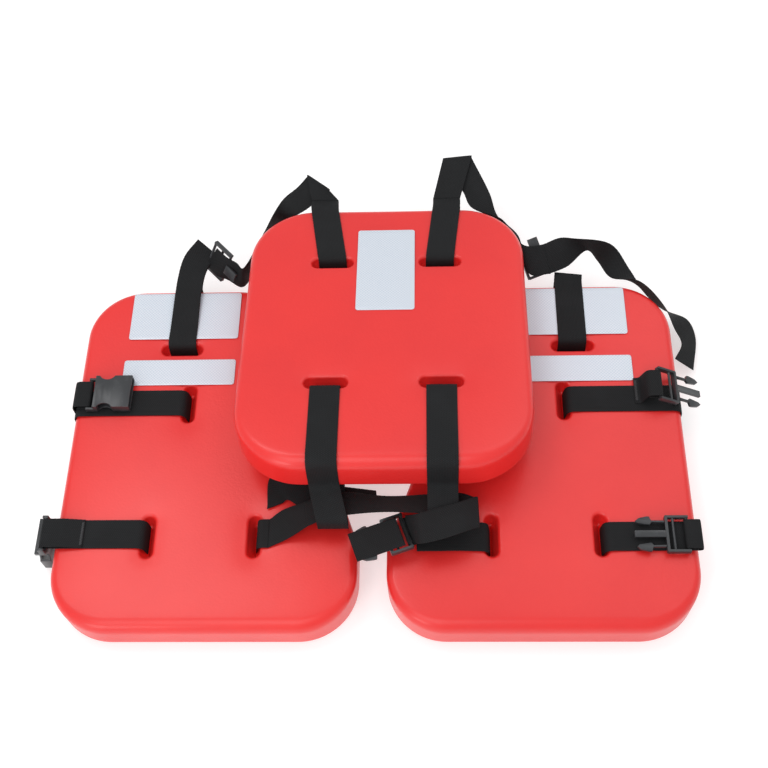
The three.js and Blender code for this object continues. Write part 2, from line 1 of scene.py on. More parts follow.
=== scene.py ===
"""Foam life jacket laid flat: three dipped foam pads, black webbing, buckles and reflective tape.

Lengths in this file are millimetres in the layout of the jacket: x runs from left to right with zero
midway between the closure edges, y from the hem to the shoulders and z up from the floor. Datum turns
them into the metres of the shared frame.
"""

import logging
import math
from dataclasses import dataclass, field
from enum import Enum
from typing import Dict, List, Optional, Sequence, Tuple, Union

import bmesh
import bpy
import numpy as np
from mathutils import Matrix, Vector
from mathutils.geometry import delaunay_2d_cdt


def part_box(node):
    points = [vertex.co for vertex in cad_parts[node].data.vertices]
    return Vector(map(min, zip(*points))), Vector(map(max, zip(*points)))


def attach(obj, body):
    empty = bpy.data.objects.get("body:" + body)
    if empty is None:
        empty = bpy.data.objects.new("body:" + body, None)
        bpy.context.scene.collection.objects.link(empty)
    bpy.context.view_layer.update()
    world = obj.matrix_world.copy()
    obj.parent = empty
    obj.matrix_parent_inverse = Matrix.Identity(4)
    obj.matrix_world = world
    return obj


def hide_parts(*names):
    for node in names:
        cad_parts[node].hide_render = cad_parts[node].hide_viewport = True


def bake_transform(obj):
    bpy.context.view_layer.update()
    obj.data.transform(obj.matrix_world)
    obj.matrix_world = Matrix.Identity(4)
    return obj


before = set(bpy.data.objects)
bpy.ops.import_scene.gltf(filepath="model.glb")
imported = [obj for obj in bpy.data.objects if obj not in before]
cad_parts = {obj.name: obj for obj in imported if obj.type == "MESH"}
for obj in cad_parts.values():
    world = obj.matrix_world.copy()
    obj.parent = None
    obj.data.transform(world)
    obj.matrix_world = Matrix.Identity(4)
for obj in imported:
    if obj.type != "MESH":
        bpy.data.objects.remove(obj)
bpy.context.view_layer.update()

log = logging.getLogger("life_jacket")

MM = 0.001
GAP = 0.3
WEB_WIDTH = 32.0
PLY = 1.3
PAD_THICK = 45.0
PAD_BASE = PLY
PAD_TOP = PAD_BASE + PAD_THICK
OVER = 0.8
HALF_SPREAD = 336.0
FRONT_LENGTH = 414.0
SLOT_LENGTH = 46.0
SLOT_WIDTH = 13.0
IN_SLOT = 2.8
SEAM = 2.0
CREASE = 1.6
TAPE_CLEAR = PAD_TOP + GAP + 0.6 + OVER
WRAP = 1.75 + GAP + 0.5
PLIES_UP = PAD_TOP + OVER + PLY

Number = Union[float, int]


class Side(Enum):
    """The two front panels; the value is the sign of their x."""

    LEFT = -1
    RIGHT = 1

    @property
    def word(self) -> str:
        """The side's name in the frame."""
        return self.name.lower()

    @property
    def body(self) -> str:
        """The CAD body of this side's panel."""
        return f"{self.word}_front"

    def x(self, inward: float) -> float:
        """The x of a place that lies inward of this side's closure edge."""
        return self.value * (HALF_SPREAD - inward)


class Slot(Enum):
    """The record's material slots."""

    FOAM = "foam"
    TAPE = "tape"
    WEBBING = "webbing"
    PLASTIC = "plastic"


def vec(x: float, y: float, z: float) -> np.ndarray:
    """A point or direction as an array."""
    return np.array([x, y, z], float)


def unit(v: np.ndarray) -> np.ndarray:
    """Each vector of an array, scaled to length one."""
    return v / np.maximum(np.linalg.norm(v, axis=-1, keepdims=True), 1e-9)


@dataclass(frozen=True)
class Datum:
    """The layout's origin in the shared frame, in millimetres."""

    x: float
    y: float
    z: float

    @classmethod
    def from_frame(cls) -> "Datum":
        """The origin, from the boxes of the two front pads."""
        left_low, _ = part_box("left_front_pad")
        right_low, right_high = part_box("right_front_pad")
        return cls(
            (left_low.x + right_high.x) / 2 / MM,
            min(left_low.y, right_low.y) / MM,
            left_low.z / MM - PAD_BASE,
        )

    def metres(self, points: np.ndarray) -> np.ndarray:
        """Layout points, in the metres of the shared frame."""
        return (np.asarray(points, float) + vec(self.x, self.y, self.z)) * MM


@dataclass(frozen=True)
class Tilted:
    """A frame turned about the x axis, for the back panel."""

    origin: np.ndarray
    tilt: float

    def out(self, points: np.ndarray) -> np.ndarray:
        """Points of this frame, in the layout.

        Args:
            points: an array whose last axis is x, y, z in this frame.

        Returns:
            The same points turned by minus the tilt about x and moved to the origin.
        """
        p = np.asarray(points, float)
        c, s = math.cos(self.tilt), math.sin(self.tilt)
        y = p[..., 1] * c + p[..., 2] * s
        z = -p[..., 1] * s + p[..., 2] * c
        return np.stack([p[..., 0], y, z], axis=-1) + self.origin

    def turn(self, directions: np.ndarray) -> np.ndarray:
        """Directions of this frame, in the layout."""
        return self.out(directions) - self.origin


# Meshes


def mesh_object(
    name: str,
    points: np.ndarray,
    faces: Sequence[Sequence[int]],
    uv: Optional[np.ndarray] = None,
    smooth: bool = True,
) -> bpy.types.Object:
    """A mesh object at the origin from points in metres.

    Args:
        name: the piece's name.
        points: vertices, one row each.
        faces: vertex indices of each face, seen anticlockwise from outside.
        uv: one pair for each vertex, copied to the face corners.
        smooth: whether the faces are shaded smooth.

    Returns:
        The new object, linked to the scene.
    """
    mesh = bpy.data.meshes.new(name)
    mesh.from_pydata(points.tolist(), [], [list(f) for f in faces])
    if uv is not None:
        layer = mesh.uv_layers.new(name="cloth")
        corner = np.empty(len(mesh.loops), np.int32)
        mesh.loops.foreach_get("vertex_index", corner)
        layer.data.foreach_set("uv", uv[corner].astype(np.float32).ravel())
    mesh.polygons.foreach_set("use_smooth", np.full(len(mesh.polygons), smooth))
    mesh.update()
    piece = bpy.data.objects.new(name, mesh)
    bpy.context.scene.collection.objects.link(piece)
    return piece


def grid_faces(rows: int, columns: int, wrap: bool, first: int = 0) -> np.ndarray:
    """Quads of a grid of points that is stored row by row.

    Args:
        rows: number of rows of points.
        columns: number of points in a row.
        wrap: whether the last column joins the first.
        first: index of the grid's first point.

    Returns:
        An array of four indices a face: the next row lies on the left of the direction of the columns.
    """
    i, j = np.meshgrid(
        np.arange(rows - 1), np.arange(columns if wrap else columns - 1), indexing="ij"
    )
    k = (j + 1) % columns
    quads = [i * columns + j, i * columns + k, (i + 1) * columns + k, (i + 1) * columns + j]
    return np.stack(quads, axis=-1).reshape(-1, 4) + first


# Shader graphs


class Value:
    """A number in a node graph, wrapped so that Python arithmetic adds Math nodes."""

    def __init__(self, graph: "Graph", socket: bpy.types.NodeSocket) -> None:
        """Wrap one output socket of a graph."""
        self.graph = graph
        self.socket = socket

    def _math(self, operation: str, *operands: Union["Value", Number], clamp: bool = False) -> "Value":
        """One Math node on the operands in their order."""
        node = self.graph.node(
            "ShaderNodeMath", {"operation": operation, "use_clamp": clamp}, dict(enumerate(operands))
        )
        return Value(self.graph, node.outputs[0])

    def __add__(self, other: Union["Value", Number]) -> "Value":
        """The sum."""
        return self._math("ADD", self, other)

    __radd__ = __add__

    def __mul__(self, other: Union["Value", Number]) -> "Value":
        """The product."""
        return self._math("MULTIPLY", self, other)

    __rmul__ = __mul__

    def __sub__(self, other: Union["Value", Number]) -> "Value":
        """The difference."""
        return self._math("SUBTRACT", self, other)

    def __rsub__(self, other: Union["Value", Number]) -> "Value":
        """The difference, with the number first."""
        return self._math("SUBTRACT", other, self)

    def __truediv__(self, other: Union["Value", Number]) -> "Value":
        """The quotient."""
        return self._math("DIVIDE", self, other)

    def __pow__(self, other: Union["Value", Number]) -> "Value":
        """The power."""
        return self._math("POWER", self, other)

    def floor(self) -> "Value":
        """The whole part."""
        return self._math("FLOOR", self)

    def fraction(self) -> "Value":
        """The part after the point."""
        return self._math("FRACT", self)

    def size(self) -> "Value":
        """The value without its sign."""
        return self._math("ABSOLUTE", self)

    def sine(self) -> "Value":
        """The sine of the value in radians."""
        return self._math("SINE", self)

    def lower(self, other: Union["Value", Number]) -> "Value":
        """The smaller of two values."""
        return self._math("MINIMUM", self, other)

    def higher(self, other: Union["Value", Number]) -> "Value":
        """The larger of two values."""
        return self._math("MAXIMUM", self, other)

    def ramp(self, start: float, end: float) -> "Value":
        """Zero before start, one after end and a smooth step between."""
        node = self.graph.node(
            "ShaderNodeMapRange",
            {"interpolation_type": "SMOOTHSTEP"},
            {"Value": self, "From Min": start, "From Max": end},
        )
        return Value(self.graph, node.outputs["Result"])


Colour = Tuple[float, float, float]


class Graph:
    """The node graph of one material."""

    def __init__(self, name: str) -> None:
        """A new material with an empty graph."""
        self.material = bpy.data.materials.new(name)
        self.material.use_nodes = True
        self.tree = self.material.node_tree
        self.tree.nodes.clear()

    def node(
        self,
        kind: str,
        settings: Dict[str, object],
        inputs: Dict[Union[str, int], object],
    ) -> bpy.types.Node:
        """Add a node.

        Args:
            kind: the node's type.
            settings: attributes of the node, set first.
            inputs: a value, colour or link for each socket, by name or number.

        Returns:
            The node.
        """
        node = self.tree.nodes.new(kind)
        for key, setting in settings.items():
            setattr(node, key, setting)
        for key, given in inputs.items():
            socket = node.inputs[key]
            source = given.socket if isinstance(given, Value) else given
            if isinstance(source, bpy.types.NodeSocket):
                self.tree.links.new(source, socket)
            elif isinstance(source, tuple) and len(source) == 3 and socket.type == "RGBA":
                socket.default_value = (*source, 1.0)
            else:
                socket.default_value = source
        return node

    def place(self) -> bpy.types.NodeSocket:
        """The Object coordinates."""
        return self.node("ShaderNodeTexCoord", {}, {}).outputs["Object"]

    def cloth(self) -> Tuple[Value, Value]:
        """The piece's own coordinates: along and across, in millimetres."""
        source = self.node("ShaderNodeUVMap", {"uv_map": "cloth"}, {}).outputs["UV"]
        parts = self.node("ShaderNodeSeparateXYZ", {}, {0: source})
        return Value(self, parts.outputs[0]) * 1000.0, Value(self, parts.outputs[1]) * 1000.0

    def noise(self, scale: float, detail: float = 2.0, roughness: float = 0.5) -> Value:
        """Noise on the Object coordinates, in cells a metre."""
        node = self.node(
            "ShaderNodeTexNoise",
            {},
            {"Vector": self.place(), "Scale": scale, "Detail": detail, "Roughness": roughness},
        )
        return Value(self, node.outputs[0])

    def cells(self, scale: float) -> Value:
        """Distance to the nearest of scattered points on the Object coordinates."""
        node = self.node(
            "ShaderNodeTexVoronoi", {"feature": "SMOOTH_F1"}, {"Vector": self.place(), "Scale": scale}
        )
        return Value(self, node.outputs["Distance"])

    def mix(self, factor: Union[Value, float], first: object, second: object) -> bpy.types.NodeSocket:
        """A mix of two colours."""
        node = self.node("ShaderNodeMix", {"data_type": "RGBA"}, {"Factor": factor})
        for key, colour in ((6, first), (7, second)):
            if isinstance(colour, tuple):
                node.inputs[key].default_value = (*colour, 1.0)
            else:
                self.tree.links.new(colour, node.inputs[key])
        return node.outputs[2]

    def bump(self, height: Value, distance: float, strength: float = 1.0) -> bpy.types.NodeSocket:
        """A normal from a height between zero and one that stands for so many millimetres."""
        node = self.node(
            "ShaderNodeBump", {}, {"Height": height, "Distance": distance * MM, "Strength": strength}
        )
        return node.outputs["Normal"]

    def finish(self, **inputs: object) -> bpy.types.Material:
        """Close the graph with a Principled surface.

        Args:
            inputs: its sockets, with underscores for spaces.

        Returns:
            The material.
        """
        named = {key.replace("_", " "): given for key, given in inputs.items()}
        surface = self.node("ShaderNodeBsdfPrincipled", {}, named)
        self.node("ShaderNodeOutputMaterial", {}, {"Surface": surface.outputs[0]})
        return self.material


# Finishes


@dataclass(frozen=True)
class DippedFoam:
    """Closed-cell foam in a thick dipped vinyl skin: satin, with a fine orange peel."""

    base: Colour = (0.80, 0.020, 0.017)
    deep: Colour = (0.66, 0.010, 0.013)
    roughness: float = 0.42

    def material(self) -> bpy.types.Material:
        """The finish as a material."""
        g = Graph("dipped_foam")
        peel = g.cells(420.0)
        grain = g.noise(1500.0, 3.0)
        creases = g.noise(160.0, 4.0, 0.6)
        cloud = g.noise(9.0, 3.0).ramp(0.3, 0.75)
        height = peel * 0.55 + grain * 0.25 + creases * 0.6
        return g.finish(
            Base_Color=g.mix(cloud * 0.35 + creases * 0.15, self.base, self.deep),
            Roughness=grain * 0.12 + cloud * 0.06 + (self.roughness - 0.06),
            Normal=g.bump(height, 0.35, 0.6),
            Coat_Weight=0.45,
            Coat_Roughness=0.26,
            Specular_IOR_Level=0.4,
        )


@dataclass(frozen=True)
class CellTape:
    """Reflective tape: silver white, with fine sealed cells in a diamond net."""

    base: Colour = (0.53, 0.60, 0.69)
    line: Colour = (0.80, 0.82, 0.87)
    pitch: float = 3.6

    def material(self) -> bpy.types.Material:
        """The finish as a material."""
        g = Graph("cell_tape")
        along, across = g.cloth()
        one = ((along + across) / self.pitch).fraction() - 0.5
        two = ((along - across) / self.pitch).fraction() - 0.5
        net = one.size().higher(two.size()).ramp(0.36, 0.47)
        glint = g.noise(700.0, 2.0)
        return g.finish(
            Base_Color=g.mix(net * 0.8 + glint * 0.2, self.base, self.line),
            Roughness=net * 0.15 + 0.34,
            Metallic=0.1,
            Normal=g.bump(net + glint * 0.2, 0.08, 0.8),
            Coat_Weight=0.4,
            Coat_Roughness=0.18,
        )


@dataclass(frozen=True)
class WovenWebbing:
    """Polypropylene webbing: ribs across the width whose yarns go over and under by turns, with a painted highlight
    on the raised yarns.
    """

    base: Colour = (0.0045, 0.0048, 0.0052)
    # high: the paler colour of the raised yarns, a painted highlight.
    high: Colour = (0.018, 0.019, 0.021)
    rib: float = 1.6
    pick: float = 2.2

    def material(self) -> bpy.types.Material:
        """The finish as a material."""
        g = Graph("woven_webbing")
        along, across = g.cloth()
        row = across / self.rib
        shift = row.floor() * 0.5
        yarn = ((along / self.pick + shift) * math.pi).sine().size()
        body = 1.0 - ((row.fraction() - 0.5) * 2.0).size() ** 3.0
        weave = yarn * body
        fuzz = g.noise(2500.0, 2.0)
        worn = g.noise(35.0, 3.0).ramp(0.45, 0.75)
        return g.finish(
            # Painted highlight: the raised yarns of the weave are mixed towards the paler colour; fuzz and worn add
            # the strap's own random tone.
            Base_Color=g.mix(weave * 0.6 + fuzz * 0.15 + worn * 0.15, self.base, self.high),
            Roughness=weave * -0.15 + 0.78,
            Normal=g.bump(weave + fuzz * 0.15, 0.3, 0.9),
            Specular_IOR_Level=0.22,
        )


@dataclass(frozen=True)
class MouldedPlastic:
    """Moulded acetal: dark grey, satin, with a fine spark-eroded grain."""

    base: Colour = (0.026, 0.028, 0.031)
    pale: Colour = (0.065, 0.070, 0.078)
    roughness: float = 0.31

    def material(self) -> bpy.types.Material:
        """The finish as a material."""
        g = Graph("moulded_plastic")
        grain = g.noise(3000.0, 2.0)
        scuff = g.noise(120.0, 4.0, 0.65).ramp(0.5, 0.8)
        return g.finish(
            Base_Color=g.mix(scuff * 0.5 + grain * 0.15, self.base, self.pale),
            Roughness=grain * 0.12 + scuff * 0.12 + (self.roughness - 0.06),
            Normal=g.bump(grain * 0.6 + scuff * 0.2, 0.05, 0.7),
        )


@dataclass(frozen=True)
class Thread:
    """Bonded sewing thread, a little paler than the webbing."""

    base: Colour = (0.035, 0.035, 0.038)
    high: Colour = (0.09, 0.09, 0.095)

    def material(self) -> bpy.types.Material:
        """The finish as a material."""
        g = Graph("sewing_thread")
        twist = g.noise(2200.0, 2.0)
        return g.finish(
            Base_Color=g.mix(twist, self.base, self.high),
            Roughness=0.6,
            Normal=g.bump(twist, 0.1, 0.6),
        )


@dataclass(frozen=True)
class PaleFloor:
    """A plain matt white floor."""

    base: Colour = (0.60, 0.60, 0.60)
    glow: float = 0.52

    def material(self) -> bpy.types.Material:
        """The finish as a material."""
        return Graph("pale_floor").finish(
            Base_Color=self.base, Roughness=0.9, Specular_IOR_Level=0.1,
            Emission_Color=(1.0, 1.0, 1.0), Emission_Strength=self.glow)


class Wardrobe:
    """Every finish, made once."""

    def __init__(self) -> None:
        """Make the materials."""
        self.foam = DippedFoam().material()
        self.tape = CellTape().material()
        self.webbing = WovenWebbing().material()
        self.plastic = MouldedPlastic().material()
        self.thread = Thread().material()
        self.floor = PaleFloor().material()


# Outlines and pads


@dataclass(frozen=True)
class Corner:
    """A corner of an outline and the radius that it is rounded to."""

    x: float
    y: float
    r: float


def rounded_outline(corners: Sequence[Corner], step: float) -> Tuple[np.ndarray, np.ndarray]:
    """A convex outline through corners, each rounded by an arc that touches both of its sides.

    Args:
        corners: the corners in order, either way round.
        step: greatest distance between points.

    Returns:
        The points, anticlockwise, and their outward normals.
    """
    at = np.array([[c.x, c.y] for c in corners])
    radii = np.array([c.r for c in corners])
    ahead = np.roll(at, -1, axis=0)
    if np.sum(at[:, 0] * ahead[:, 1] - ahead[:, 0] * at[:, 1]) < 0:
        at, radii = at[::-1], radii[::-1]
    before, ahead = unit(np.roll(at, 1, axis=0) - at), unit(np.roll(at, -1, axis=0) - at)
    half = np.arccos(np.sum(before * ahead, axis=1)) / 2
    centre = at + unit(before + ahead) * (radii / np.sin(half))[:, None]
    start = at + before * (radii / np.tan(half))[:, None]
    end = at + ahead * (radii / np.tan(half))[:, None]
    points, normals = [], []
    for i in range(len(at)):
        first = math.atan2(*(start[i] - centre[i])[::-1])
        turn = math.pi - 2 * half[i]
        count = max(6, int(radii[i] * turn / step))
        angle = first + turn * np.linspace(0, 1, count + 1)
        ring = np.stack([np.cos(angle), np.sin(angle)], axis=1)
        points.append(centre[i] + radii[i] * ring)
        normals.append(ring)
        run = start[(i + 1) % len(at)] - end[i]
        length = float(np.linalg.norm(run))
        if length > step:
            inner = np.linspace(0, 1, int(length / step) + 2)[1:-1, None]
            points.append(end[i] + run * inner)
            normals.append(np.repeat(unit(vec(run[1], -run[0], 0)[None, :2]), len(inner), axis=0))
    outline, normal = np.concatenate(points), np.concatenate(normals)
    apart = np.linalg.norm(outline - np.roll(outline, 1, axis=0), axis=1) > 1e-3
    return outline[apart], normal[apart]


@dataclass(frozen=True)
class PadSlot:
    """A slot through a pad: its middle, and whether it runs along x."""

    x: float
    y: float
    along_x: bool

    def outline(self, step: float) -> Tuple[np.ndarray, np.ndarray]:
        """The slot's edge and normals, as a long hole with round ends."""
        a, b = SLOT_LENGTH / 2, SLOT_WIDTH / 2
        if not self.along_x:
            a, b = b, a
        corners = [Corner(self.x + i * a, self.y + j * b, SLOT_WIDTH / 2 - 0.01)
                   for i, j in ((-1, -1), (1, -1), (1, 1), (-1, 1))]
        return rounded_outline(corners, step)

    def distance(self, points: np.ndarray) -> np.ndarray:
        """How far points lie outside the slot's edge."""
        reach = SLOT_LENGTH / 2 - SLOT_WIDTH / 2
        offset = points - np.array([self.x, self.y])
        run = 0 if self.along_x else 1
        offset[:, run] -= np.clip(offset[:, run], -reach, reach)
        return np.linalg.norm(offset, axis=1) - SLOT_WIDTH / 2


@dataclass
class FoamPad:
    """A foam pad: outline and slots, rounded rims, and faces that sink a little towards them.

    The outer wall is straight. The walls of the slots bulge inwards by the pinch.
    """

    corners: Sequence[Corner]
    slots: Sequence[PadSlot]
    rim: float = 9.0
    near_rim: float = 14.0
    under_rim: float = 4.0
    lip: float = 4.0
    pinch: float = 7.0
    lip_sink: float = 1.3
    lip_spread: float = 9.0
    wave_height: float = 0.25
    sink: float = 1.6
    spread: float = 26.0
    step: float = 3.0
    weave: float = 7.0

    def _fall(self, outline: np.ndarray, points: np.ndarray) -> np.ndarray:
        """How far the upper face lies below the flat.

        It sinks exponentially towards rims and slots, and has a slow wave of its own.
        """
        apart = np.linalg.norm(points[:, None, :] - outline[None, ::2, :], axis=2).min(axis=1)
        fall = self.sink * np.exp(-np.maximum(apart - self.rim, 0) / self.spread)
        for slot in self.slots:
            beyond = np.maximum(slot.distance(points.copy()) - self.lip, 0)
            fall = fall + self.lip_sink * np.exp(-beyond / self.lip_spread)
        wave = np.sin(points[:, 0] / 37 + 1.3) * np.sin(points[:, 1] / 43 + 0.4)
        return fall + self.wave_height * (1 + wave)

    def _rim_surface(
        self,
        ring: np.ndarray,
        out: np.ndarray,
        round_top: np.ndarray,
        round_under: float,
        bulge: float,
        fall: np.ndarray,
    ) -> np.ndarray:
        """The wall round a ring: a quarter round, a bulged wall and a quarter round.

        Args:
            ring: points of the edge.
            out: directions away from the foam.
            round_top: radius of the upper rounding at each point.
            round_under: radius of the lower rounding.
            bulge: how far the wall stands out at half height.
            fall: how far the upper face lies below the flat at each point.

        Returns:
            An array of points by profile steps by x, y, z.
        """
        quarter = np.linspace(math.pi / 2, 0, 9)[None, :]
        r = round_top[:, None]
        top = PAD_THICK - fall[:, None]
        upper_o = -r * (1 - np.cos(quarter))
        upper_z = top - r * (1 - np.sin(quarter))
        share = np.linspace(0, 1, 9)[None, 1:-1]
        wall_z = (top - r) * (1 - share) + round_under * share
        wall_o = np.broadcast_to(bulge * np.sin(math.pi * share) ** 1.5, wall_z.shape)
        lower_o = np.broadcast_to(-round_under * (1 - np.cos(quarter[:, ::-1])), upper_o.shape)
        lower_z = np.broadcast_to(round_under * (1 - np.sin(quarter[:, ::-1])), upper_o.shape)
        offset = np.concatenate([upper_o, wall_o, lower_o], axis=1)
        height = np.concatenate([upper_z, wall_z, lower_z], axis=1)
        flat = ring[:, None, :] + out[:, None, :] * offset[..., None]
        return np.concatenate([flat, height[..., None]], axis=2)

    def build(self) -> Tuple[np.ndarray, List[List[int]]]:
        """The pad's points, in its own frame with z from its under face, and its faces."""
        outline, normals = rounded_outline(self.corners, self.step)
        nearness = np.clip(-normals[:, 1], 0, 1) ** 2
        radii = self.rim + (self.near_rim - self.rim) * nearness
        rings = [(outline, normals, radii, self.under_rim, 0.0)]
        for slot in self.slots:
            ring, out = slot.outline(1.2)
            lips = np.full(len(ring), self.lip)
            rings.append((ring[::-1], -out[::-1], lips, self.lip, self.pinch))
        surfaces = []
        for ring, out, r, under, bulge in rings:
            inner = ring - out * r[:, None]
            fall = self._fall(outline, inner)
            surfaces.append(self._rim_surface(ring, out, r, under, bulge, fall))
        profile = surfaces[0].shape[1]
        low, high = outline.min(axis=0), outline.max(axis=0)
        xs, ys = np.meshgrid(*[np.arange(a, b, self.weave) for a, b in zip(low, high)])
        xs = xs + (np.arange(len(xs)) % 2)[:, None] * self.weave / 2
        inner = np.stack([xs.ravel(), ys.ravel()], axis=1)
        gap = inner[:, None, :] - outline[None, ::2, :]
        nearest = np.argmin(np.linalg.norm(gap, axis=2), axis=1) * 2
        depth = -np.sum((inner - outline[nearest]) * normals[nearest], axis=1)
        keep = depth > radii[nearest] + 4
        for slot in self.slots:
            keep &= slot.distance(inner.copy()) > self.lip + 2.5
        inner = inner[keep]
        loops, start = [], 0
        for surface in surfaces:
            loops.append(np.arange(start, start + len(surface)))
            start += len(surface)
        flat = np.concatenate([s[:, 0, :2] for s in surfaces] + [inner])
        edges = np.concatenate([np.stack([k, np.roll(k, -1)], axis=1) for k in loops])
        _, _, triangles, source, _, _ = delaunay_2d_cdt(
            flat.tolist(), edges.tolist(), [], 1, 1e-4)
        origin = np.array([s[0] for s in source])
        tri = origin[np.array(triangles)]
        middle = flat[tri].mean(axis=1)
        inside = np.ones(len(tri), bool)
        for slot in self.slots:
            inside &= slot.distance(middle.copy()) > self.lip * 0.9
        tri = tri[inside]
        a, b, c = flat[tri[:, 0]], flat[tri[:, 1]], flat[tri[:, 2]]
        area = (b[:, 0] - a[:, 0]) * (c[:, 1] - a[:, 1]) - (b[:, 1] - a[:, 1]) * (c[:, 0] - a[:, 0])
        tri[area < 0] = tri[area < 0][:, ::-1]
        grids = [s.reshape(-1, 3) for s in surfaces]
        firsts = np.cumsum([0] + [len(g) for g in grids])
        ring_first = np.concatenate([f + np.arange(len(s)) * profile for f, s in zip(firsts, surfaces)])
        upper_first = firsts[-1]
        lower_first = upper_first + len(inner)
        to_upper = np.concatenate([ring_first, upper_first + np.arange(len(inner))])
        to_lower = np.concatenate([ring_first + profile - 1, lower_first + np.arange(len(inner))])
        upper = np.column_stack([inner, PAD_THICK - self._fall(outline, inner)])
        lower = np.column_stack([inner, np.zeros(len(inner))])
        faces: List[List[int]] = []
        for f, s in zip(firsts, surfaces):
            quads = grid_faces(len(s), profile, False, int(f))
            last = np.stack([np.arange(profile - 1) + f + (len(s) - 1) * profile,
                             np.arange(1, profile) + f + (len(s) - 1) * profile,
                             np.arange(1, profile) + f, np.arange(profile - 1) + f], axis=1)
            faces += np.concatenate([quads, last]).tolist()
        faces += to_upper[tri].tolist() + to_lower[tri][:, ::-1].tolist()
        return np.concatenate(grids + [upper, lower]), faces


# Webbing


@dataclass
class Route:
    """Where a strap runs: its middle line, and the direction of its width at each station.

    In a skewed route the width is the whole vector from the middle to an edge, at any slant.
    """

    line: np.ndarray
    width: np.ndarray
    skewed: bool = False

    @classmethod
    def joined(cls, *routes: "Route") -> "Route":
        """Routes one after another."""
        line = np.concatenate([route.line for route in routes])
        width = np.concatenate([route.width for route in routes])
        return cls(line, width, routes[0].skewed)

    @classmethod
    def bent(
        cls,
        points: Sequence[np.ndarray],
        radius: Union[float, Sequence[float]],
        across: np.ndarray,
        turns: int = 8,
    ) -> "Route":
        """Straight runs, each inner corner turned with a curve of the second degree.

        Args:
            points: the corners.
            radius: how far from each corner its curve begins, one for all or one each.
            across: direction of the width.
            turns: steps in each curve.

        Returns:
            The route.
        """
        radii = [radius] * len(points) if isinstance(radius, (int, float)) else list(radius)
        t = np.linspace(0, 1, turns + 1)[:, None]
        line = [points[0][None, :]]
        for i in range(1, len(points) - 1):
            back, ahead = points[i - 1] - points[i], points[i + 1] - points[i]
            trim = min(radii[i], np.linalg.norm(back) / 2.1, np.linalg.norm(ahead) / 2.1)
            a, b = points[i] + unit(back) * trim, points[i] + unit(ahead) * trim
            line.append((1 - t) ** 2 * a + 2 * t * (1 - t) * points[i] + t ** 2 * b)
        line.append(points[-1][None, :])
        stations = np.concatenate(line)
        return cls(stations, np.tile(across, (len(stations), 1)))

    @classmethod
    def free(cls, knots: Sequence[Tuple[np.ndarray, np.ndarray]], steps: int = 160) -> "Route":
        """A centripetal Catmull-Rom curve through points; the width turns from one to the next.

        Args:
            knots: a point and the direction of the width, for each.
            steps: number of steps along the whole.

        Returns:
            The route.
        """
        p = np.array([k[0] for k in knots])
        w = unit(np.array([k[1] for k in knots]))
        full = np.concatenate([[2 * p[0] - p[1]], p, [2 * p[-1] - p[-2]]])
        t = np.linspace(0, len(p) - 1, steps + 1)
        k = np.minimum(t.astype(int), len(p) - 2)
        f = (t - k)[:, None]
        a, b, c, d = full[k], full[k + 1], full[k + 2], full[k + 3]
        span = [np.sqrt(np.linalg.norm(v, axis=1, keepdims=True)) for v in (b - a, c - b, d - c)]
        m1 = ((b - a) / span[0] - (c - a) / (span[0] + span[1]) + (c - b) / span[1]) * span[1]
        m2 = ((c - b) / span[1] - (d - b) / (span[1] + span[2]) + (d - c) / span[2]) * span[1]
        line = b + m1 * f + (3 * (c - b) - 2 * m1 - m2) * f ** 2 + (2 * (b - c) + m1 + m2) * f ** 3
        return cls(line, unit(w[k] * (1 - f) + w[k + 1] * f))

    @classmethod
    def edged(cls, pairs: Sequence[Tuple[np.ndarray, np.ndarray]], steps: int = 200) -> "Route":
        """A strap whose two edges pass smoothly through pairs of points.

        Args:
            pairs: a point on each edge, for each place along the strap.
            steps: number of steps along the whole.

        Returns:
            The route, with half the distance between the edges as its width.
        """
        level = vec(0, 0, 1)
        one, two = (cls.free([(pair[k], level) for pair in pairs], steps).line for k in (0, 1))
        return cls((one + two) / 2, (two - one) / 2, True)

    @classmethod
    def fold(cls, crease: Tuple[np.ndarray, np.ndarray], radius: float) -> "Route":
        """Half a turn round a level crease, from above it to beneath it."""
        one, two = crease
        half = (two - one) / 2
        beyond = unit(np.cross(vec(0, 0, 1), half))
        angle = math.pi * (0.5 - np.linspace(0, 1, 11))[:, None]
        turn = beyond * np.cos(angle) + vec(0, 0, 1) * np.sin(angle)
        line = (one + two) / 2 + radius * turn
        return cls(line, np.tile(half, (len(line), 1)), True)

    @classmethod
    def wrap(cls, bar: np.ndarray, forward: np.ndarray, across: np.ndarray, tail: float) -> "Route":
        """Half a turn round a bar, from its top down its far side, and back beneath for a tail."""
        angle = math.pi * (0.5 - np.linspace(0, 1, 13))[:, None]
        arc = bar + forward * WRAP * np.cos(angle) + vec(0, 0, 1) * WRAP * np.sin(angle)
        line = np.concatenate([arc, [bar - forward * tail - vec(0, 0, WRAP)]])
        return cls(line, np.tile(across, (len(line), 1)))

    def placed(self, tilted: Tilted) -> "Route":
        """The same route, out of a turned frame."""
        return Route(tilted.out(self.line), tilted.turn(self.width))

    def edges(self) -> "Route":
        """The same route as a skewed one."""
        return Route(self.line, unit(self.width) * WEB_WIDTH / 2, True)

    def reversed(self) -> "Route":
        """The same route from its other end."""
        return Route(self.line[::-1], self.width[::-1], self.skewed)

    def even(self, spacing: float) -> "Route":
        """Stations at an even distance along the route."""
        step = np.linalg.norm(np.diff(self.line, axis=0), axis=1)
        keep = np.concatenate([[True], step > 1e-4])
        line, width = self.line[keep], self.width[keep]
        along = np.concatenate([[0], np.cumsum(np.linalg.norm(np.diff(line, axis=0), axis=1))])
        to = np.linspace(0, along[-1], max(4, int(along[-1] / spacing)) + 1)
        mixed = [np.stack([np.interp(to, along, values[:, i]) for i in range(3)], axis=1)
                 for values in (line, width)]
        return Route(mixed[0], mixed[1] if self.skewed else unit(mixed[1]), self.skewed)


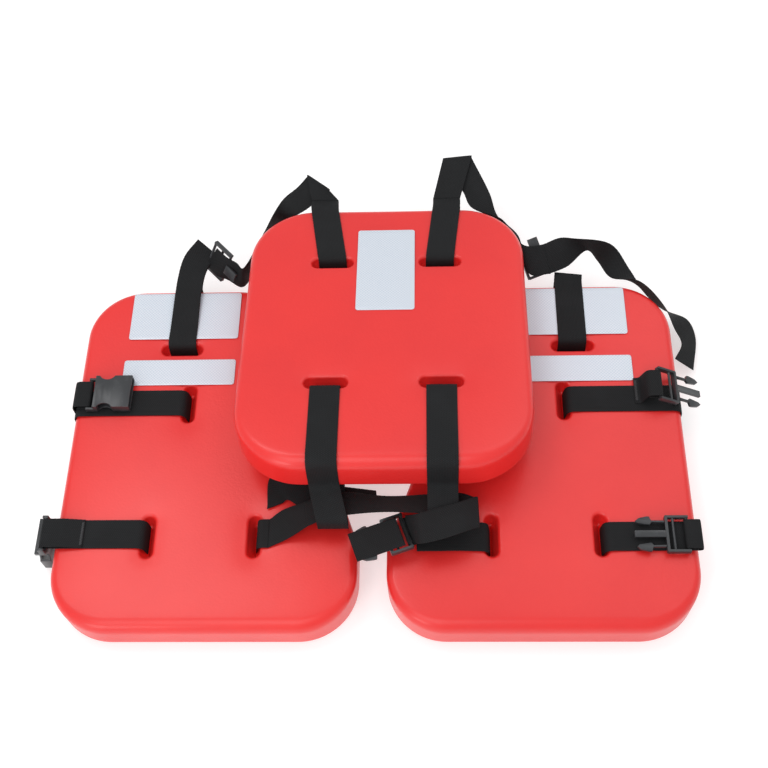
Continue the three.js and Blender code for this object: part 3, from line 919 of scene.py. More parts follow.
@dataclass
class Webbing:
    """Flat woven strap with soft selvedges, carried along a route."""

    width: float = WEB_WIDTH
    thick: float = 1.15
    spacing: float = 1.6
    section: int = 24

    def surface(self, route: Route) -> Tuple[np.ndarray, np.ndarray, List[List[int]]]:
        """A flattened superellipse carried along the route, closed at both ends.

        Args:
            route: where the strap runs.

        Returns:
            The points, their cloth coordinates in metres and the faces.
        """
        even = route.even(self.spacing)
        tangent = unit(np.gradient(even.line, axis=0))
        if even.skewed:
            across = even.width * (2 / self.width)
        else:
            slip = np.sum(even.width * tangent, axis=1, keepdims=True)
            across = unit(even.width - tangent * slip)
        up = unit(np.cross(tangent, across))
        angle = np.linspace(0, 2 * math.pi, self.section, endpoint=False) + math.pi / self.section
        c, s = np.cos(angle), np.sin(angle)
        y = self.width / 2 * np.sign(c) * np.abs(c) ** 0.28
        z = self.thick / 2 * np.sign(s) * np.abs(s) ** 0.6
        along = np.arange(len(even.line)) * np.linalg.norm(even.line[1] - even.line[0])
        edge = 1 + 0.006 * np.sin(along * 2 * math.pi / 4.4)
        points = (even.line[:, None, :] + across[:, None, :] * (y[None, :] * edge[:, None])[..., None]
                  + up[:, None, :] * z[None, :, None])
        uv = np.stack(np.broadcast_arrays(along[:, None], y[None, :]), axis=-1) * MM
        n, k = len(even.line), self.section
        faces = grid_faces(n, k, True).tolist()
        faces += [list(range(k - 1, -1, -1)), list(range((n - 1) * k, n * k))]
        return points.reshape(-1, 3), uv.reshape(-1, 2), faces


# Sewing


@dataclass(frozen=True)
class BarTack:
    """A bar of close stitches sewn across a strap."""

    width: float = 26.0
    pitch: float = 0.9
    length: float = 3.4
    thread: float = 0.32

    def surface(
        self, middle: np.ndarray, along: np.ndarray, across: np.ndarray
    ) -> Tuple[np.ndarray, np.ndarray]:
        """Stitches side by side: each a thread of six sides that swells towards its middle.

        Args:
            middle: the bar's middle on the strap's upper face.
            along: the strap's direction.
            across: the direction of its width.

        Returns:
            The points and the faces of every stitch.
        """
        along, across = unit(along), unit(across)
        up = np.cross(along, across)
        t = np.linspace(-1, 1, 5)
        angle = np.linspace(0, 2 * math.pi, 6, endpoint=False)
        girth = self.thread * np.sqrt(1.02 - t ** 2)
        lift = self.thread * 0.9 * (1 - t ** 4)
        x = np.repeat(t[:, None] * self.length / 2, 6, axis=1)
        y = girth[:, None] * np.cos(angle)[None, :]
        z = lift[:, None] + girth[:, None] * np.sin(angle)[None, :]
        count = int(self.width / self.pitch)
        offset = (np.arange(count) - (count - 1) / 2) * self.pitch
        stagger = np.where(np.arange(count) % 2, 0.35, -0.35)
        px = x[None] + stagger[:, None, None]
        py = y[None] + offset[:, None, None]
        pz = np.broadcast_to(z[None], px.shape)
        offsets = px[..., None] * along + py[..., None] * across + pz[..., None] * up
        points = (middle + offsets).reshape(-1, 3)
        each = grid_faces(5, 6, True)
        faces = (each[None] + (np.arange(count) * 30)[:, None, None]).reshape(-1, 4)
        return points, faces


# Moulded parts


@dataclass
class MouldedPart:
    """A moulded part with its edges rounded, in place of its CAD node."""

    node: str
    body: str
    edge: float = 0.55

    def build(self, finish: bpy.types.Material) -> bpy.types.Object:
        """Merge a copy of the node's mesh, round its edges and let it stand for the node.

        Args:
            finish: the plastic.

        Returns:
            The piece.
        """
        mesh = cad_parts[self.node].data.copy()
        shape = bmesh.new()
        shape.from_mesh(mesh)
        bmesh.ops.remove_doubles(shape, verts=shape.verts, dist=1e-5)
        bmesh.ops.dissolve_limit(shape, angle_limit=0.01, verts=shape.verts, edges=shape.edges)
        shape.to_mesh(mesh)
        shape.free()
        mesh.materials.clear()
        mesh.polygons.foreach_set("use_smooth", np.full(len(mesh.polygons), True))
        piece = bpy.data.objects.new(f"{self.node}_moulded", mesh)
        bpy.context.scene.collection.objects.link(piece)
        rounding = piece.modifiers.new("edges", "BEVEL")
        rounding.width = self.edge * MM
        rounding.segments = 2
        rounding.limit_method = "ANGLE"
        rounding.angle_limit = math.radians(35)
        rounding.harden_normals = True
        finish_piece(piece, self.body, Slot.PLASTIC, finish, self.node)
        return piece


def finish_piece(
    piece: bpy.types.Object,
    body: Optional[str],
    slot: Slot,
    finish: bpy.types.Material,
    *nodes: str,
) -> None:
    """Give a piece its material, let it ride, and hide the nodes that it stands for."""
    piece.data.materials.append(finish)
    if body is not None:
        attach(piece, body)
    if nodes:
        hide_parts(*nodes)
    log.info("%s: %d faces", piece.name, len(piece.data.polygons))


# Sub-assemblies


@dataclass
class Workshop:
    """What every sub-assembly needs: the datum, the finishes and the back panel's frame."""

    datum: Datum
    wardrobe: Wardrobe
    back: Tilted
    webbing: Webbing = field(default_factory=Webbing)

    @classmethod
    def ready(cls) -> "Workshop":
        """Measure the frame and make the finishes."""
        datum = Datum.from_frame()
        low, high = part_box("back_pad")
        middle = (np.array(low) + np.array(high)) / 2 / MM - vec(datum.x, datum.y, datum.z)
        tilt = math.radians(6.8)
        flat = Tilted(vec(0, 0, 0), tilt)
        origin = middle - flat.out(vec(0, BackPanel.length / 2, PAD_THICK / 2))
        return cls(datum, Wardrobe(), Tilted(origin, tilt))

    def strap(self, name: str, route: Route, body: str, *nodes: str,
              webbing: Optional[Webbing] = None) -> bpy.types.Object:
        """A strap along a route, riding on a body in place of its CAD nodes."""
        points, uv, faces = (webbing or self.webbing).surface(route)
        piece = mesh_object(name, self.datum.metres(points), faces, uv)
        finish_piece(piece, body, Slot.WEBBING, self.wardrobe.webbing, *nodes)
        return piece

    def bridge(
        self,
        name: str,
        route: Route,
        first: str,
        second: str,
        start: np.ndarray,
        end: np.ndarray,
        *nodes: str,
    ) -> bpy.types.Object:
        """A strap that crosses a joint between two bodies."""
        points, uv, faces = self.webbing.surface(route)
        piece = mesh_object(name, self.datum.metres(points), faces, uv)
        finish_piece(piece, None, Slot.WEBBING, self.wardrobe.webbing, *nodes)
        start_m, end_m = (tuple(self.datum.metres(spot)) for spot in (start, end))
        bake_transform(piece)
        return piece

    def pad(self, name: str, pad: FoamPad, place: Tilted, body: str, node: str) -> bpy.types.Object:
        """A foam pad, out of its own frame."""
        points, faces = pad.build()
        piece = mesh_object(name, self.datum.metres(place.out(points)), faces)
        finish_piece(piece, body, Slot.FOAM, self.wardrobe.foam, node)
        return piece

    def tack(
        self, name: str, body: str, places: Sequence[Tuple[np.ndarray, np.ndarray, np.ndarray]]
    ) -> None:
        """Bars of stitches in one piece, each at a place, along a direction and across another."""
        points, faces, first = [], [], 0
        for middle, along, across in places:
            p, q = BarTack().surface(middle, along, across)
            points.append(p)
            faces.append(q + first)
            first += len(p)
        where = self.datum.metres(np.concatenate(points))
        piece = mesh_object(name, where, np.concatenate(faces).tolist())
        finish_piece(piece, body, Slot.WEBBING, self.wardrobe.thread)

    def tape(
        self,
        name: str,
        box: Tuple[float, float, float, float],
        place: Tilted,
        height: float,
        body: str,
        node: str,
    ) -> bpy.types.Object:
        """A strip of tape with rounded corners and thin edges, just above a face.

        Args:
            name: the piece's name.
            box: its least and greatest x, then its least and greatest y.
            place: the frame that it lies in.
            height: z of its under side there.
            body: the body that it rides on.
            node: the CAD node that it stands for.

        Returns:
            The piece: rings of a rounded rectangle shrunk towards its middle, with a rounded edge.
        """
        x0, x1, y0, y1 = box
        corners = [Corner(x, y, 3.0) for x, y in ((x0, y0), (x1, y0), (x1, y1), (x0, y1))]
        ring, out = rounded_outline(corners, 2.0)
        middle = np.array([(x0 + x1) / 2, (y0 + y1) / 2])
        angle = np.linspace(-math.pi / 2, math.pi / 2, 7)
        half = 0.3
        rim = [np.column_stack([ring - out * half * (1 - math.cos(a)), np.full(len(ring), half + half * math.sin(a))])
               for a in angle]
        fill = [np.column_stack([middle + (rim[-1][:, :2] - middle) * s, np.full(len(ring), 2 * half)])
                for s in np.linspace(1, 0, 9)[1:-1]]
        layers = np.concatenate(rim + fill)
        n = len(ring)
        count = len(rim) + len(fill)
        top = np.array([[*middle, 2 * half]])
        under = np.array([[*middle, 0.0]])
        points = np.concatenate([layers, top, under])
        points[:, 2] += height
        faces = grid_faces(count, n, True).tolist()
        k = np.arange(n)
        last = (count - 1) * n
        faces += np.stack([k + last, (k + 1) % n + last, np.full(n, len(layers))], axis=1).tolist()
        faces += np.stack([(k + 1) % n, k, np.full(n, len(layers) + 1)], axis=1).tolist()
        piece = mesh_object(name, self.datum.metres(place.out(points)), faces, points[:, :2] * MM)
        finish_piece(piece, body, Slot.TAPE, self.wardrobe.tape, node)
        return piece


ACROSS_X = vec(1, 0, 0)
ACROSS_Y = vec(0, 1, 0)
LEVEL = Tilted(vec(0, 0, PAD_BASE), 0.0)


@dataclass
class FrontPanel:
    """A front panel: its pad, two tapes, and the bands that go round the pad through its slots."""

    side: Side
    hem: float = 321.0
    shoulder: float = 208.0
    knee: float = 94.0
    shoulder_slot: Tuple[float, float] = (113.0, 331.0)
    chest_slot: Tuple[float, float] = (128.0, 260.0)
    waist_y: float = 101.0
    waist_outer: float = 99.0
    waist_inner: float = 212.0

    def pad(self) -> FoamPad:
        """The pad, seen from above."""
        x = self.side.x
        corners = [
            Corner(x(0), 0, 65), Corner(x(self.hem), 0, 62), Corner(x(self.hem), self.knee, 60),
            Corner(x(self.shoulder), FRONT_LENGTH, 48), Corner(x(0), FRONT_LENGTH, 62),
        ]
        slots = [
            PadSlot(x(self.shoulder_slot[0]), self.shoulder_slot[1], True),
            PadSlot(x(self.chest_slot[0]), self.chest_slot[1], False),
            PadSlot(x(self.waist_outer), self.waist_y, False),
            PadSlot(x(self.waist_inner), self.waist_y, False),
        ]
        return FoamPad(corners, slots)

    def through(self, x_or_y: float, wall: float) -> Tuple[float, float, float]:
        """Where a strap stands in a slot: at its wall above, in the pinch, at its wall below."""
        return wall, x_or_y, wall

    def chest_band(self) -> Route:
        """Through the chest slot, over the outer strip, round the edge and back under the pad."""
        s = self.side.value
        middle = self.side.x(self.chest_slot[0])
        wall = middle + s * (SLOT_WIDTH / 2 - IN_SLOT)
        edge = self.side.x(-OVER)
        seam = (wall + edge) / 2
        y = self.chest_slot[1]
        low, high = PAD_BASE - OVER, PAD_TOP + OVER
        return Route.bent([
            vec(seam + s * GAP, y, low), vec(edge, y, low), vec(edge + s * 0.4, y, (low + high) / 2),
            vec(edge, y, high), vec(wall, y, high), vec(middle + s * 0.6, y, (low + high) / 2),
            vec(wall, y, low), vec(seam - s * GAP, y, low),
        ], [0, 8, 8, 12, 8, 14, 6.5, 0], ACROSS_Y)

    def shoulder_band(self, meet: np.ndarray) -> Route:
        """Round the shoulder strip through its slot; both plies rise to the adjuster."""
        x, slot_y = self.side.x(self.shoulder_slot[0]), self.shoulder_slot[1]
        wall = slot_y + SLOT_WIDTH / 2 - IN_SLOT
        edge = FRONT_LENGTH + OVER
        low = PAD_BASE - OVER
        return Route.bent([
            meet - vec(0, 0, PLY), vec(x, edge, PAD_TOP - 12), vec(x, edge, low), vec(x, wall, low),
            vec(x, slot_y + 0.6, PAD_TOP / 2), vec(x, wall, TAPE_CLEAR),
            vec(x, FRONT_LENGTH + 4, TAPE_CLEAR),
            meet + vec(0, PLY, PLY),
        ], [0, 9, 6.5, 6.5, 14, 8, 9, 0], ACROSS_X)

    def build(self, shop: Workshop) -> None:
        """Make the panel's pieces."""
        word, body = self.side.word, self.side.body
        shop.pad(f"{word}_foam", self.pad(), LEVEL, body, f"{word}_front_pad")
        tapes = {"upper": (50, 177, 344, 407), "lower": (49, 177, 283, 316)}
        for place, (u0, u1, y0, y1) in tapes.items():
            xs = sorted((self.side.x(u0), self.side.x(u1)))
            shop.tape(f"{word}_{place}_reflector", (*xs, y0, y1), LEVEL, PAD_THICK + GAP / 2, body,
                      f"{word}_{place}_tape")
        shop.strap(f"{word}_chest_loop", self.chest_band(), body, f"{word}_chest_band")


@dataclass
class BackPanel:
    """The back panel: its pad, tape, and the bands and loops through its four slots."""

    width: float = 312.0
    length: float = 355.0
    corner: float = 72.0
    slot_x: float = 61.0
    lower: float = 101.0
    band_reach: float = 14.0

    @property
    def upper(self) -> float:
        """The y of the two upper slots."""
        return self.length - 85

    def pad(self) -> FoamPad:
        """The pad, seen from above in its own frame."""
        w = self.width / 2
        corners = [Corner(x, y, self.corner)
                   for x, y in ((-w, 0), (w, 0), (w, self.length), (-w, self.length))]
        slots = [PadSlot(s * self.slot_x, y, True) for y in (self.upper, self.lower) for s in (-1, 1)]
        return FoamPad(corners, slots)

    def loop(self, side: Side, reach: float, skew: float) -> Route:
        """A loop on the near strip, hanging in front of the pad for the belt to pass through."""
        x = side.value * self.slot_x
        wall = self.lower - SLOT_WIDTH / 2 + IN_SLOT
        seam = wall / 2
        drop = -29
        return Route.bent([
            vec(x, seam + GAP, -OVER), vec(x, wall, -OVER), vec(x, self.lower - 0.6, PAD_THICK / 2),
            vec(x, wall, PAD_THICK + OVER), vec(x, -OVER, PAD_THICK + OVER), vec(x, -OVER, 2),
            vec(x + skew, -reach, drop + 18), vec(x + skew, -reach, drop),
            vec(x + skew / 2, 2, drop + 2),
            vec(x, seam - GAP, -OVER - 1),
        ], [0, 6.5, 14, 8, 14, 8, 8, 7, 8, 0], ACROSS_X)

    def lean(self, side: Side) -> float:
        """How far a band leans along x on its way to the edge."""
        return -13.0 if side is Side.LEFT else 9.0

    def band(self, side: Side) -> Route:
        """A band round the far strip, leaning to one side; its plies meet beyond the edge."""
        x = side.value * self.slot_x
        slant = x + self.lean(side)
        wall = self.upper + SLOT_WIDTH / 2 - IN_SLOT
        edge = self.length + OVER
        reach = self.band_reach
        return Route.bent([
            vec(slant, edge + reach, PAD_THICK - 4), vec(slant, edge, PAD_THICK - 14),
            vec(slant, edge, -OVER), vec(x, wall, -OVER), vec(x, self.upper + 0.6, PAD_THICK / 2),
            vec(x, wall, PAD_THICK + OVER),
            vec(slant, edge + 2, PAD_THICK + OVER), vec(slant, edge + reach, PAD_THICK - 4 + PLY),
        ], [0, 8, 6.5, 6.5, 14, 8, 9, 0], ACROSS_X)

    def band_end(self, shop: Workshop, side: Side) -> Tuple[np.ndarray, np.ndarray]:
        """The pair of points at which the shoulder strap takes over from a band."""
        x = side.value * self.slot_x + self.lean(side)
        y = self.length + OVER + self.band_reach + 0.6
        one, two = (shop.back.out(vec(x + e * WEB_WIDTH / 2, y, PAD_THICK - 3)) for e in (-1, 1))
        return one, two

    def build(self, shop: Workshop) -> None:
        """Make the panel's pieces."""
        shop.pad("back_foam", self.pad(), shop.back, "back", "back_pad")
        shop.tape("back_reflector", (-32.5, 32.5, 197, 317), shop.back, PAD_THICK + GAP / 2,
                  "back", "back_tape")
        for side, reach, skew in ((Side.LEFT, 36, 9), (Side.RIGHT, 32, 0)):
            shop.strap(f"{side.word}_belt_loop", self.loop(side, reach, skew).placed(shop.back), "back",
                       f"{side.word}_back_loop")
            shop.strap(f"{side.word}_back_strap", self.band(side).placed(shop.back), "back",
                       f"{side.word}_back_band")


@dataclass
class ChestFastening:
    """The chest tails and the two halves of the chest buckle."""

    y: float = 269.0

    def build(self, shop: Workshop) -> None:
        """Make the tails and the buckle halves."""
        socket_bar = vec(Side.LEFT.x(16), self.y, PLIES_UP + WRAP)
        plug_bar = vec(Side.RIGHT.x(25), self.y, PAD_TOP + 17)
        edge = Side.LEFT.x(-OVER - PLY)
        shop.strap("left_chest_end", Route.joined(
            Route.bent([vec(edge, self.y, PAD_TOP - 22), vec(edge, self.y, socket_bar[2] + WRAP),
                        socket_bar + vec(-2, 0, WRAP)], 8, ACROSS_Y),
            Route.wrap(socket_bar, vec(1, 0, 0), ACROSS_Y, 13),
        ), "left_front", "left_chest_tail")
        shop.strap("right_chest_end", Route.joined(
            Route.bent([vec(Side.RIGHT.x(50), self.y, PLIES_UP),
                        vec(Side.RIGHT.x(44), self.y, PLIES_UP),
                        plug_bar + vec(-12, 0, WRAP), plug_bar + vec(-2, 0, WRAP)], 20, ACROSS_Y),
            Route.wrap(plug_bar, vec(1, 0, 0), ACROSS_Y, 12),
        ), "right_front", "right_chest_tail")
        top = PLIES_UP + 0.6
        shop.tack("right_chest_tacks", "right_front", [
            (vec(Side.RIGHT.x(u), self.y, top), ACROSS_X, ACROSS_Y) for u in (48,)])
        for node in ("chest_socket", "chest_plug", "chest_latch_a", "chest_latch_b"):
            MouldedPart(node, node).build(shop.wardrobe.plastic)


@dataclass
class WaistBelt:
    """The belt under the front pads and across the back, with its two buckles."""

    left: FrontPanel
    right: FrontPanel
    level: float = PAD_TOP + 26
    line: float = 124.0
    plug_turn: float = math.radians(199.8)

    def under(
        self, panel: FrontPanel, y: float, outer: Route, inner: Sequence[np.ndarray]
    ) -> Route:
        """The belt under a pad: down through the outer slot and up through the inner one."""
        s = panel.side.value
        outer_mid, inner_mid = panel.side.x(panel.waist_outer), panel.side.x(panel.waist_inner)
        outer_x = outer_mid + s * (SLOT_WIDTH / 2 - IN_SLOT)
        inner_x = inner_mid - s * (SLOT_WIDTH / 2 - IN_SLOT)
        low, high, half = PAD_BASE - OVER, PAD_TOP + OVER, PAD_TOP / 2
        corners = [outer.line[-1], vec(outer_x, y, high), vec(outer_mid + s * 0.6, y, half),
                   vec(outer_x, y, low), vec(inner_x, y, low), vec(inner_mid - s * 0.6, y, half),
                   vec(inner_x, y, high), *inner]
        radii = [0, 8, 14, 6.5, 6.5, 14, 8] + [8] * len(inner)
        return Route.joined(outer, Route.bent(corners, radii, ACROSS_Y))

    def build(self, shop: Workshop) -> None:
        """Make the belt's four lengths, and the buckles."""
        x = Side.LEFT.x
        y = self.left.waist_y + 2
        socket_bar = vec(x(-10.5), y, PAD_TOP + OVER + WRAP)
        outer = Route.joined(
            Route(np.array([vec(x(32), y, PAD_TOP + OVER + PLY),
                            vec(x(10), y, PAD_TOP + OVER + 2 * WRAP)]),
                  np.tile(ACROSS_Y, (2, 1))),
            Route.wrap(socket_bar, vec(-1, 0, 0), ACROSS_Y, 24))
        shop.strap("left_waist_strap", self.under(
            self.left, y, outer, [vec(x(self.left.waist_inner + 14 + SEAM), y, PAD_TOP + OVER)]),
            "left_front", "left_waist_belt")
        shop.tack("left_waist_tacks", "left_front", [
            (vec(x(u), y, PAD_TOP + OVER + PLY + 0.7), ACROSS_X, ACROSS_Y) for u in (30, 22)])
        self._right(shop)
        self._middle(shop, vec(x(self.left.waist_inner + 14 + SEAM), y, PAD_TOP + OVER))
        for node in ("waist_socket", "waist_plug", "waist_latch_a", "waist_latch_b",
                     "belt_plug", "belt_latch_a", "belt_latch_b"):
            MouldedPart(node, node).build(shop.wardrobe.plastic)

    def _right(self, shop: Workshop) -> None:
        """The right length, from its plug and fold to the free side of the pad."""
        x = Side.RIGHT.x
        y = self.right.waist_y - 3
        bar = vec(x(12), y, PLIES_UP + WRAP)
        fold = x(-2.5)
        outer = Route.joined(
            Route.wrap(bar, vec(-1, 0, 0), ACROSS_Y, 10).reversed(),
            Route.bent([bar + vec(2, 0, WRAP), vec(fold, y, bar[2] + WRAP),
                        vec(fold, y, PAD_TOP + OVER),
                        vec(fold - 8, y, PAD_TOP + OVER)], 2.5, ACROSS_Y))
        shop.strap("right_waist_strap", self.under(self.right, y, outer, [
            vec(x(self.right.waist_inner + 34), y, PAD_TOP + OVER + 2),
            vec(x(self.right.waist_inner + 78), y - 2, PAD_TOP + 7)]),
            "right_front", "right_waist_belt")

    @staticmethod
    def _edges(middle: np.ndarray, across: np.ndarray) -> Tuple[np.ndarray, np.ndarray]:
        """A pair of edge points, from their middle and the direction of the strap's width."""
        half = unit(across) * WEB_WIDTH / 2
        return middle + half, middle - half

    def _middle(self, shop: Workshop, start: np.ndarray) -> None:
        """The length across the back, folded back to its plug, and the bridge from the left pad.

        A slack ply lies under the bridge, folded beside the slot.
        """
        left, right = 13 - 61, 13 + 61
        meet = vec(left - 20, self.line - 8, self.level - 5)
        tilt = vec(-0.15, 0.94, -0.24)
        shop.bridge("left_belt_run", Route.edged([
            self._edges(start, ACROSS_Y), (vec(-95, 127.5, 51), vec(-88, 94.5, 52)),
            self._edges(meet + vec(0.5, 0, 0), tilt),
        ], 80), "left_front", "back", start, meet, "left_belt_bridge")
        shop.bridge("left_belt_slack", Route.edged([
            (vec(-111.7, 130.2, 48.3), vec(-95.1, 137, 48.3)),
            (vec(-109.5, 166.9, 49.5), vec(-90.8, 139.9, 49.5)),
            (vec(-77.4, 159.4, 55), vec(-72.7, 128.2, 55)),
            (vec(-28.9, 151.4, 57), vec(-25.9, 121.7, 57)),
            (vec(4.1, 146.3, 58), vec(6.5, 124.7, 60)),
        ], 120), "left_front", "back", start, meet)
        turn = self.plug_turn
        forward = vec(math.cos(turn), math.sin(turn), 0)
        across = vec(-math.sin(turn), math.cos(turn), 0)
        bar = vec(36, 98, PAD_TOP + 17)
        z = self.level
        crease = (vec(107.8, 128, 81), vec(108.9, 93.9, 81))
        lift = vec(0, 0, CREASE)
        out = Route.edged([
            self._edges(meet, tilt), self._edges(vec(left, self.line - 2, z), tilt),
            (vec(-28.3, 141.6, 65.2), vec(-21.5, 112.2, 74)),
            (vec(16.7, 139.2, 59.8), vec(19.8, 113.1, 78.2)),
            (vec(right, self.line + 15, 66), vec(right, self.line - 15, 78)),
            (vec(92.8, 137, 71.1), vec(94.2, 105.3, 74.9)), tuple(p - lift for p in crease),
        ])
        home = Route.edged([
            tuple(p + lift for p in crease), (vec(93.3, 120.5, 88), vec(94.6, 86.8, 88)),
            (vec(63.8, 112.8, 86), vec(73.5, 80.2, 86)),
            (vec(48.2, 109.2, 83), vec(52.2, 76.5, 83)),
            self._edges(bar - forward * 4 + vec(0, 0, WRAP), -across),
        ])
        shop.strap("back_belt_run", Route.joined(
            out, Route.fold(crease, CREASE).reversed(), home,
            Route.wrap(bar, forward, -across, 14).edges()),
            "back", "belt_middle")
        flap = Route.bent([vec(6, 0, 4.9), vec(30, 0, 5.5), vec(58, 0, 4.5)], 12, ACROSS_Y)
        turned = Route(*[p[:, :1] * forward + p[:, 1:2] * across + p[:, 2:] * vec(0, 0, 1)
                         for p in (flap.line, flap.width)])
        shop.strap("belt_end_flap", Route(turned.line + bar, turned.width),
                   "belt_plug", "belt_plug_flap")


@dataclass
class ShoulderStraps:
    """The straps from the back panel over the shoulders, with their adjusters and the free tail.

    Each strap goes up from its band, over a sharp crease, and down beneath itself.
    """

    back: BackPanel
    left: FrontPanel
    right: FrontPanel
    left_crease: Tuple[np.ndarray, ...] = (vec(-84.4, 547.4, 88), vec(-56.9, 524.3, 88))
    right_crease: Tuple[np.ndarray, ...] = (vec(79.3, 570.1, 86), vec(114.2, 573.9, 86))
    left_meet: np.ndarray = field(default_factory=lambda: vec(-226, 458, PAD_TOP + 10))
    right_meet: np.ndarray = field(
        default_factory=lambda: vec(Side.RIGHT.x(112), 425, PAD_TOP + 1.5))

    def strap(self, start: Tuple[np.ndarray, np.ndarray], crease: Tuple[np.ndarray, np.ndarray],
              pairs: Sequence[Tuple[np.ndarray, np.ndarray]]) -> Route:
        """Up to the crease, half a turn round it, and on through pairs of points."""
        lift = vec(0, 0, CREASE)
        rise = Route.edged([start, tuple(p + lift for p in crease)], 24)
        fall = Route.edged([tuple(p - lift for p in crease), *pairs])
        return Route.joined(rise, Route.fold(crease, CREASE), fall)

    def left_band(self) -> Route:
        """The left band: flat on the pad, then both plies twist up to the adjuster's bar."""
        x, edge = self.left.side.x(self.left.shoulder_slot[0]), FRONT_LENGTH + OVER
        half, ply = vec(WEB_WIDTH / 2, 0, 0), vec(0, 0, PLY)
        end = (vec(-211, 464, 77), vec(-187.5, 450.5, 60))
        mid = (vec(-230.5, 448.5, 59), vec(-201, 436, 56.5))
        round_slot = self.left.shoulder_band(self.left_meet)
        flat = Route(round_slot.line[10:-10], round_slot.width[10:-10]).edges()
        first, last = flat.line[0], flat.line[-1]
        rim, wall = vec(x, edge + 2, PAD_TOP - 3), vec(x, edge + 0.3, PAD_TOP - 12)
        under = Route.edged([tuple(p - ply for p in end), tuple(p - 2 * ply for p in mid),
                             *((spot - half, spot + half) for spot in (rim, wall, first))], 60)
        over = Route.edged([(last - half, last + half), mid, end], 60)
        return Route.joined(under, flat, over)

    def build(self, shop: Workshop) -> None:
        """Make both straps, their bands, the adjusters and the tail."""
        shop.strap("left_shoulder_loop", self.left_band(), "left_front", "left_shoulder_band")
        shop.strap("right_shoulder_loop", self.right.shoulder_band(self.right_meet), "right_front",
                   "right_shoulder_band")
        start_l, start_r = self.back.band_end(shop, Side.LEFT), self.back.band_end(shop, Side.RIGHT)
        shop.bridge("left_shoulder_run", self.strap(start_l, self.left_crease, [
            (vec(-96, 538, 79), vec(-83.5, 504, 79)),
            (vec(-111.5, 523.1, 77.2), vec(-94.8, 495.8, 78.8)),
            (vec(-121.4, 490.7, 88), vec(-114.2, 498.9, 58)),
            (vec(-130.5, 471.7, 82.4), vec(-127.3, 488.9, 55.6)),
            (vec(-140.5, 451, 78), vec(-138, 464, 50)),
            (vec(-150, 428.5, 76), vec(-150.5, 428, 45)),
            (vec(-155.5, 422, 75), vec(-160, 417, 44)),
            (vec(-162.4, 430.2, 74.6), vec(-177, 425.4, 47.4)),
            (vec(-173.5, 436.4, 76.8), vec(-189.8, 429.8, 50.2)),
            (vec(-186.5, 448.7, 79.3), vec(-203.1, 443.9, 52.4)),
        ]), "left_front", "back", vec(-160, 420, 60), start_l[0], "left_shoulder_strap")
        shop.bridge("right_shoulder_run", self.strap(start_r, self.right_crease, [
            (vec(102.8, 524.7, 80.5), vec(134.8, 521.7, 79.5)),
            (vec(112, 503, 78.8), vec(143, 494, 73.2)),
            (vec(145.7, 483.3, 82), vec(166.3, 462.7, 74)),
            (vec(172, 447, 78), vec(178, 418.5, 60)),
            (vec(195, 450.7, 73.5), vec(203, 422.7, 54)),
        ]), "back", "right_front", start_r[1], vec(175, 432, 68), "right_shoulder_strap")
        shop.strap("right_free_tail", Route.edged([
            (vec(191, 450.4, 73.2), vec(199, 422.4, 53.7)),
            (vec(195.8, 451.8, 73.5), vec(203.8, 423.8, 53.9)),
            (vec(214, 459, 75), vec(222.5, 432.5, 54)),
            (vec(231.8, 458.9, 73.2), vec(249.8, 460.6, 46.8)),
            (vec(273.8, 455, 66.2), vec(261, 452, 37.8)),
            (vec(297.7, 435.8, 40.9), vec(274, 419, 49)), (vec(317, 411, 24), vec(304, 413.5, 51)),
            (vec(336.2, 397.3, 14), vec(331.5, 384.5, 42)),
            (vec(362.7, 382.5, 14.6), vec(343.5, 363, 27)),
            (vec(370.7, 362, 10), vec(350, 343, 25.2)), (vec(364, 318, 7), vec(340, 322, 27)),
        ], 300), "right_front", "right_strap_tail")
        MouldedPart("left_adjuster", "left_front").build(shop.wardrobe.plastic)
        MouldedPart("right_adjuster", "right_front").build(shop.wardrobe.plastic)


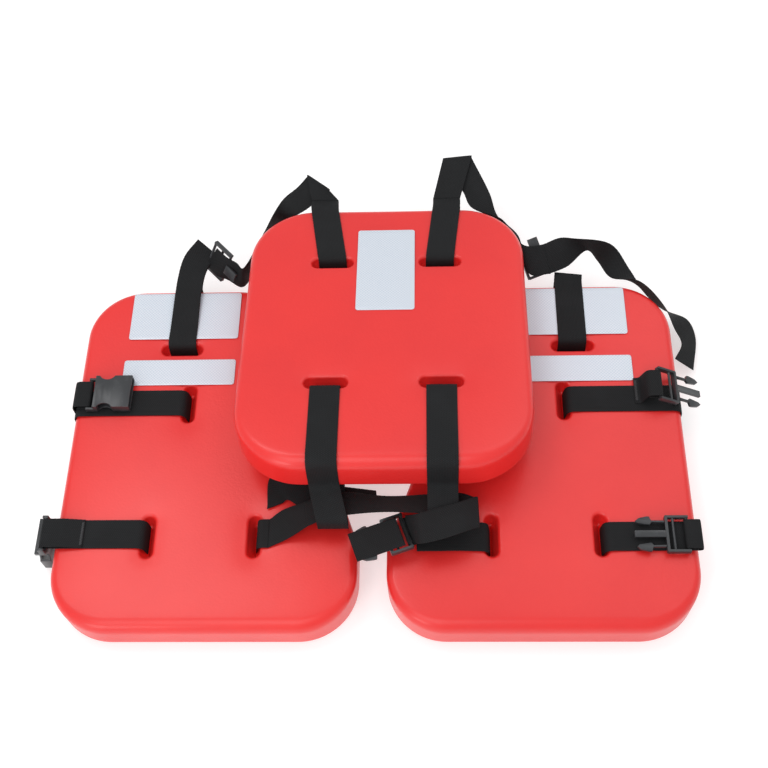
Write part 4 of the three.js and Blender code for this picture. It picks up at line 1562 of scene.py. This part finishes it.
@dataclass
class Studio:
    """A pale floor, soft light from above and the camera."""

    eye: np.ndarray = field(default_factory=lambda: vec(67.98, -358.94, 1172.89))
    right: np.ndarray = field(default_factory=lambda: vec(0.99894751, 0.01287487, -0.04402405))
    up: np.ndarray = field(default_factory=lambda: vec(0.01056433, 0.86941192, 0.49397502))
    lens: float = 54.375

    def _area(
        self,
        name: str,
        place: Tuple[float, float, float],
        aim: Tuple[float, float, float],
        size: float,
        power: float,
    ) -> None:
        """A soft square lamp that faces a point, in metres."""
        data = bpy.data.lights.new(name, "AREA")
        data.shape = "SQUARE"
        data.size = size
        data.energy = power
        lamp = bpy.data.objects.new(name, data)
        lamp.location = place
        lamp.rotation_euler = (Vector(aim) - Vector(place)).to_track_quat("-Z", "Y").to_euler()
        bpy.context.scene.collection.objects.link(lamp)

    def build(self, shop: Workshop) -> None:
        """Make the floor, the lamps, the sky and the camera."""
        reach, step = 6.0, 12
        line = np.linspace(-reach, reach, step + 1)
        xs, ys = np.meshgrid(line, line)
        points = np.stack([xs.ravel(), ys.ravel(), np.full(xs.size, -0.0005)], axis=1)
        faces = grid_faces(step + 1, step + 1, False).tolist()
        floor = mesh_object("floor", points, faces, smooth=False)
        floor.data.materials.append(shop.wardrobe.floor)
        scene = bpy.context.scene
        scene.view_settings.view_transform = "Standard"
        scene.view_settings.look = "None"
        world = bpy.data.worlds.new("studio")
        world.use_nodes = True
        world.node_tree.nodes["Background"].inputs["Color"].default_value = (1, 1, 1, 1)
        world.node_tree.nodes["Background"].inputs["Strength"].default_value = 0.68
        scene.world = world
        self._area("key", (-0.5, -1.3, 1.9), (0.0, 0.0, 0.0), 1.3, 10.5)
        self._area("hem", (-0.9, -1.6, 0.55), (-0.2, -0.2, 0.0), 0.6, 5.0)
        self._area("softbox", (-0.78, 0.32, 1.95), (-0.25, -0.25, 0.0), 0.8, 7.0)
        self._area("fill", (0.9, 0.9, 2.2), (0.0, 0.1, 0.0), 1.8, 10.0)
        data = bpy.data.cameras.new("camera")
        data.lens = self.lens
        data.sensor_width = 36.0
        camera = bpy.data.objects.new("camera", data)
        back = np.cross(self.right, self.up)
        turn = Matrix(np.stack([self.right, self.up, back], axis=1).tolist()).to_4x4()
        camera.matrix_world = Matrix.Translation(Vector(shop.datum.metres(self.eye))) @ turn
        scene.collection.objects.link(camera)
        scene.camera = camera


def main() -> None:
    """Build the jacket and the studio."""
    logging.basicConfig(level=logging.INFO, format="%(name)s: %(message)s")
    shop = Workshop.ready()
    studio = Studio()
    studio.build(shop)
    left, right, back = FrontPanel(Side.LEFT), FrontPanel(Side.RIGHT), BackPanel()
    left.build(shop)
    right.build(shop)
    back.build(shop)
    ChestFastening().build(shop)
    WaistBelt(left, right).build(shop)
    ShoulderStraps(back, left, right).build(shop)


if __name__ == "__main__":
    main()
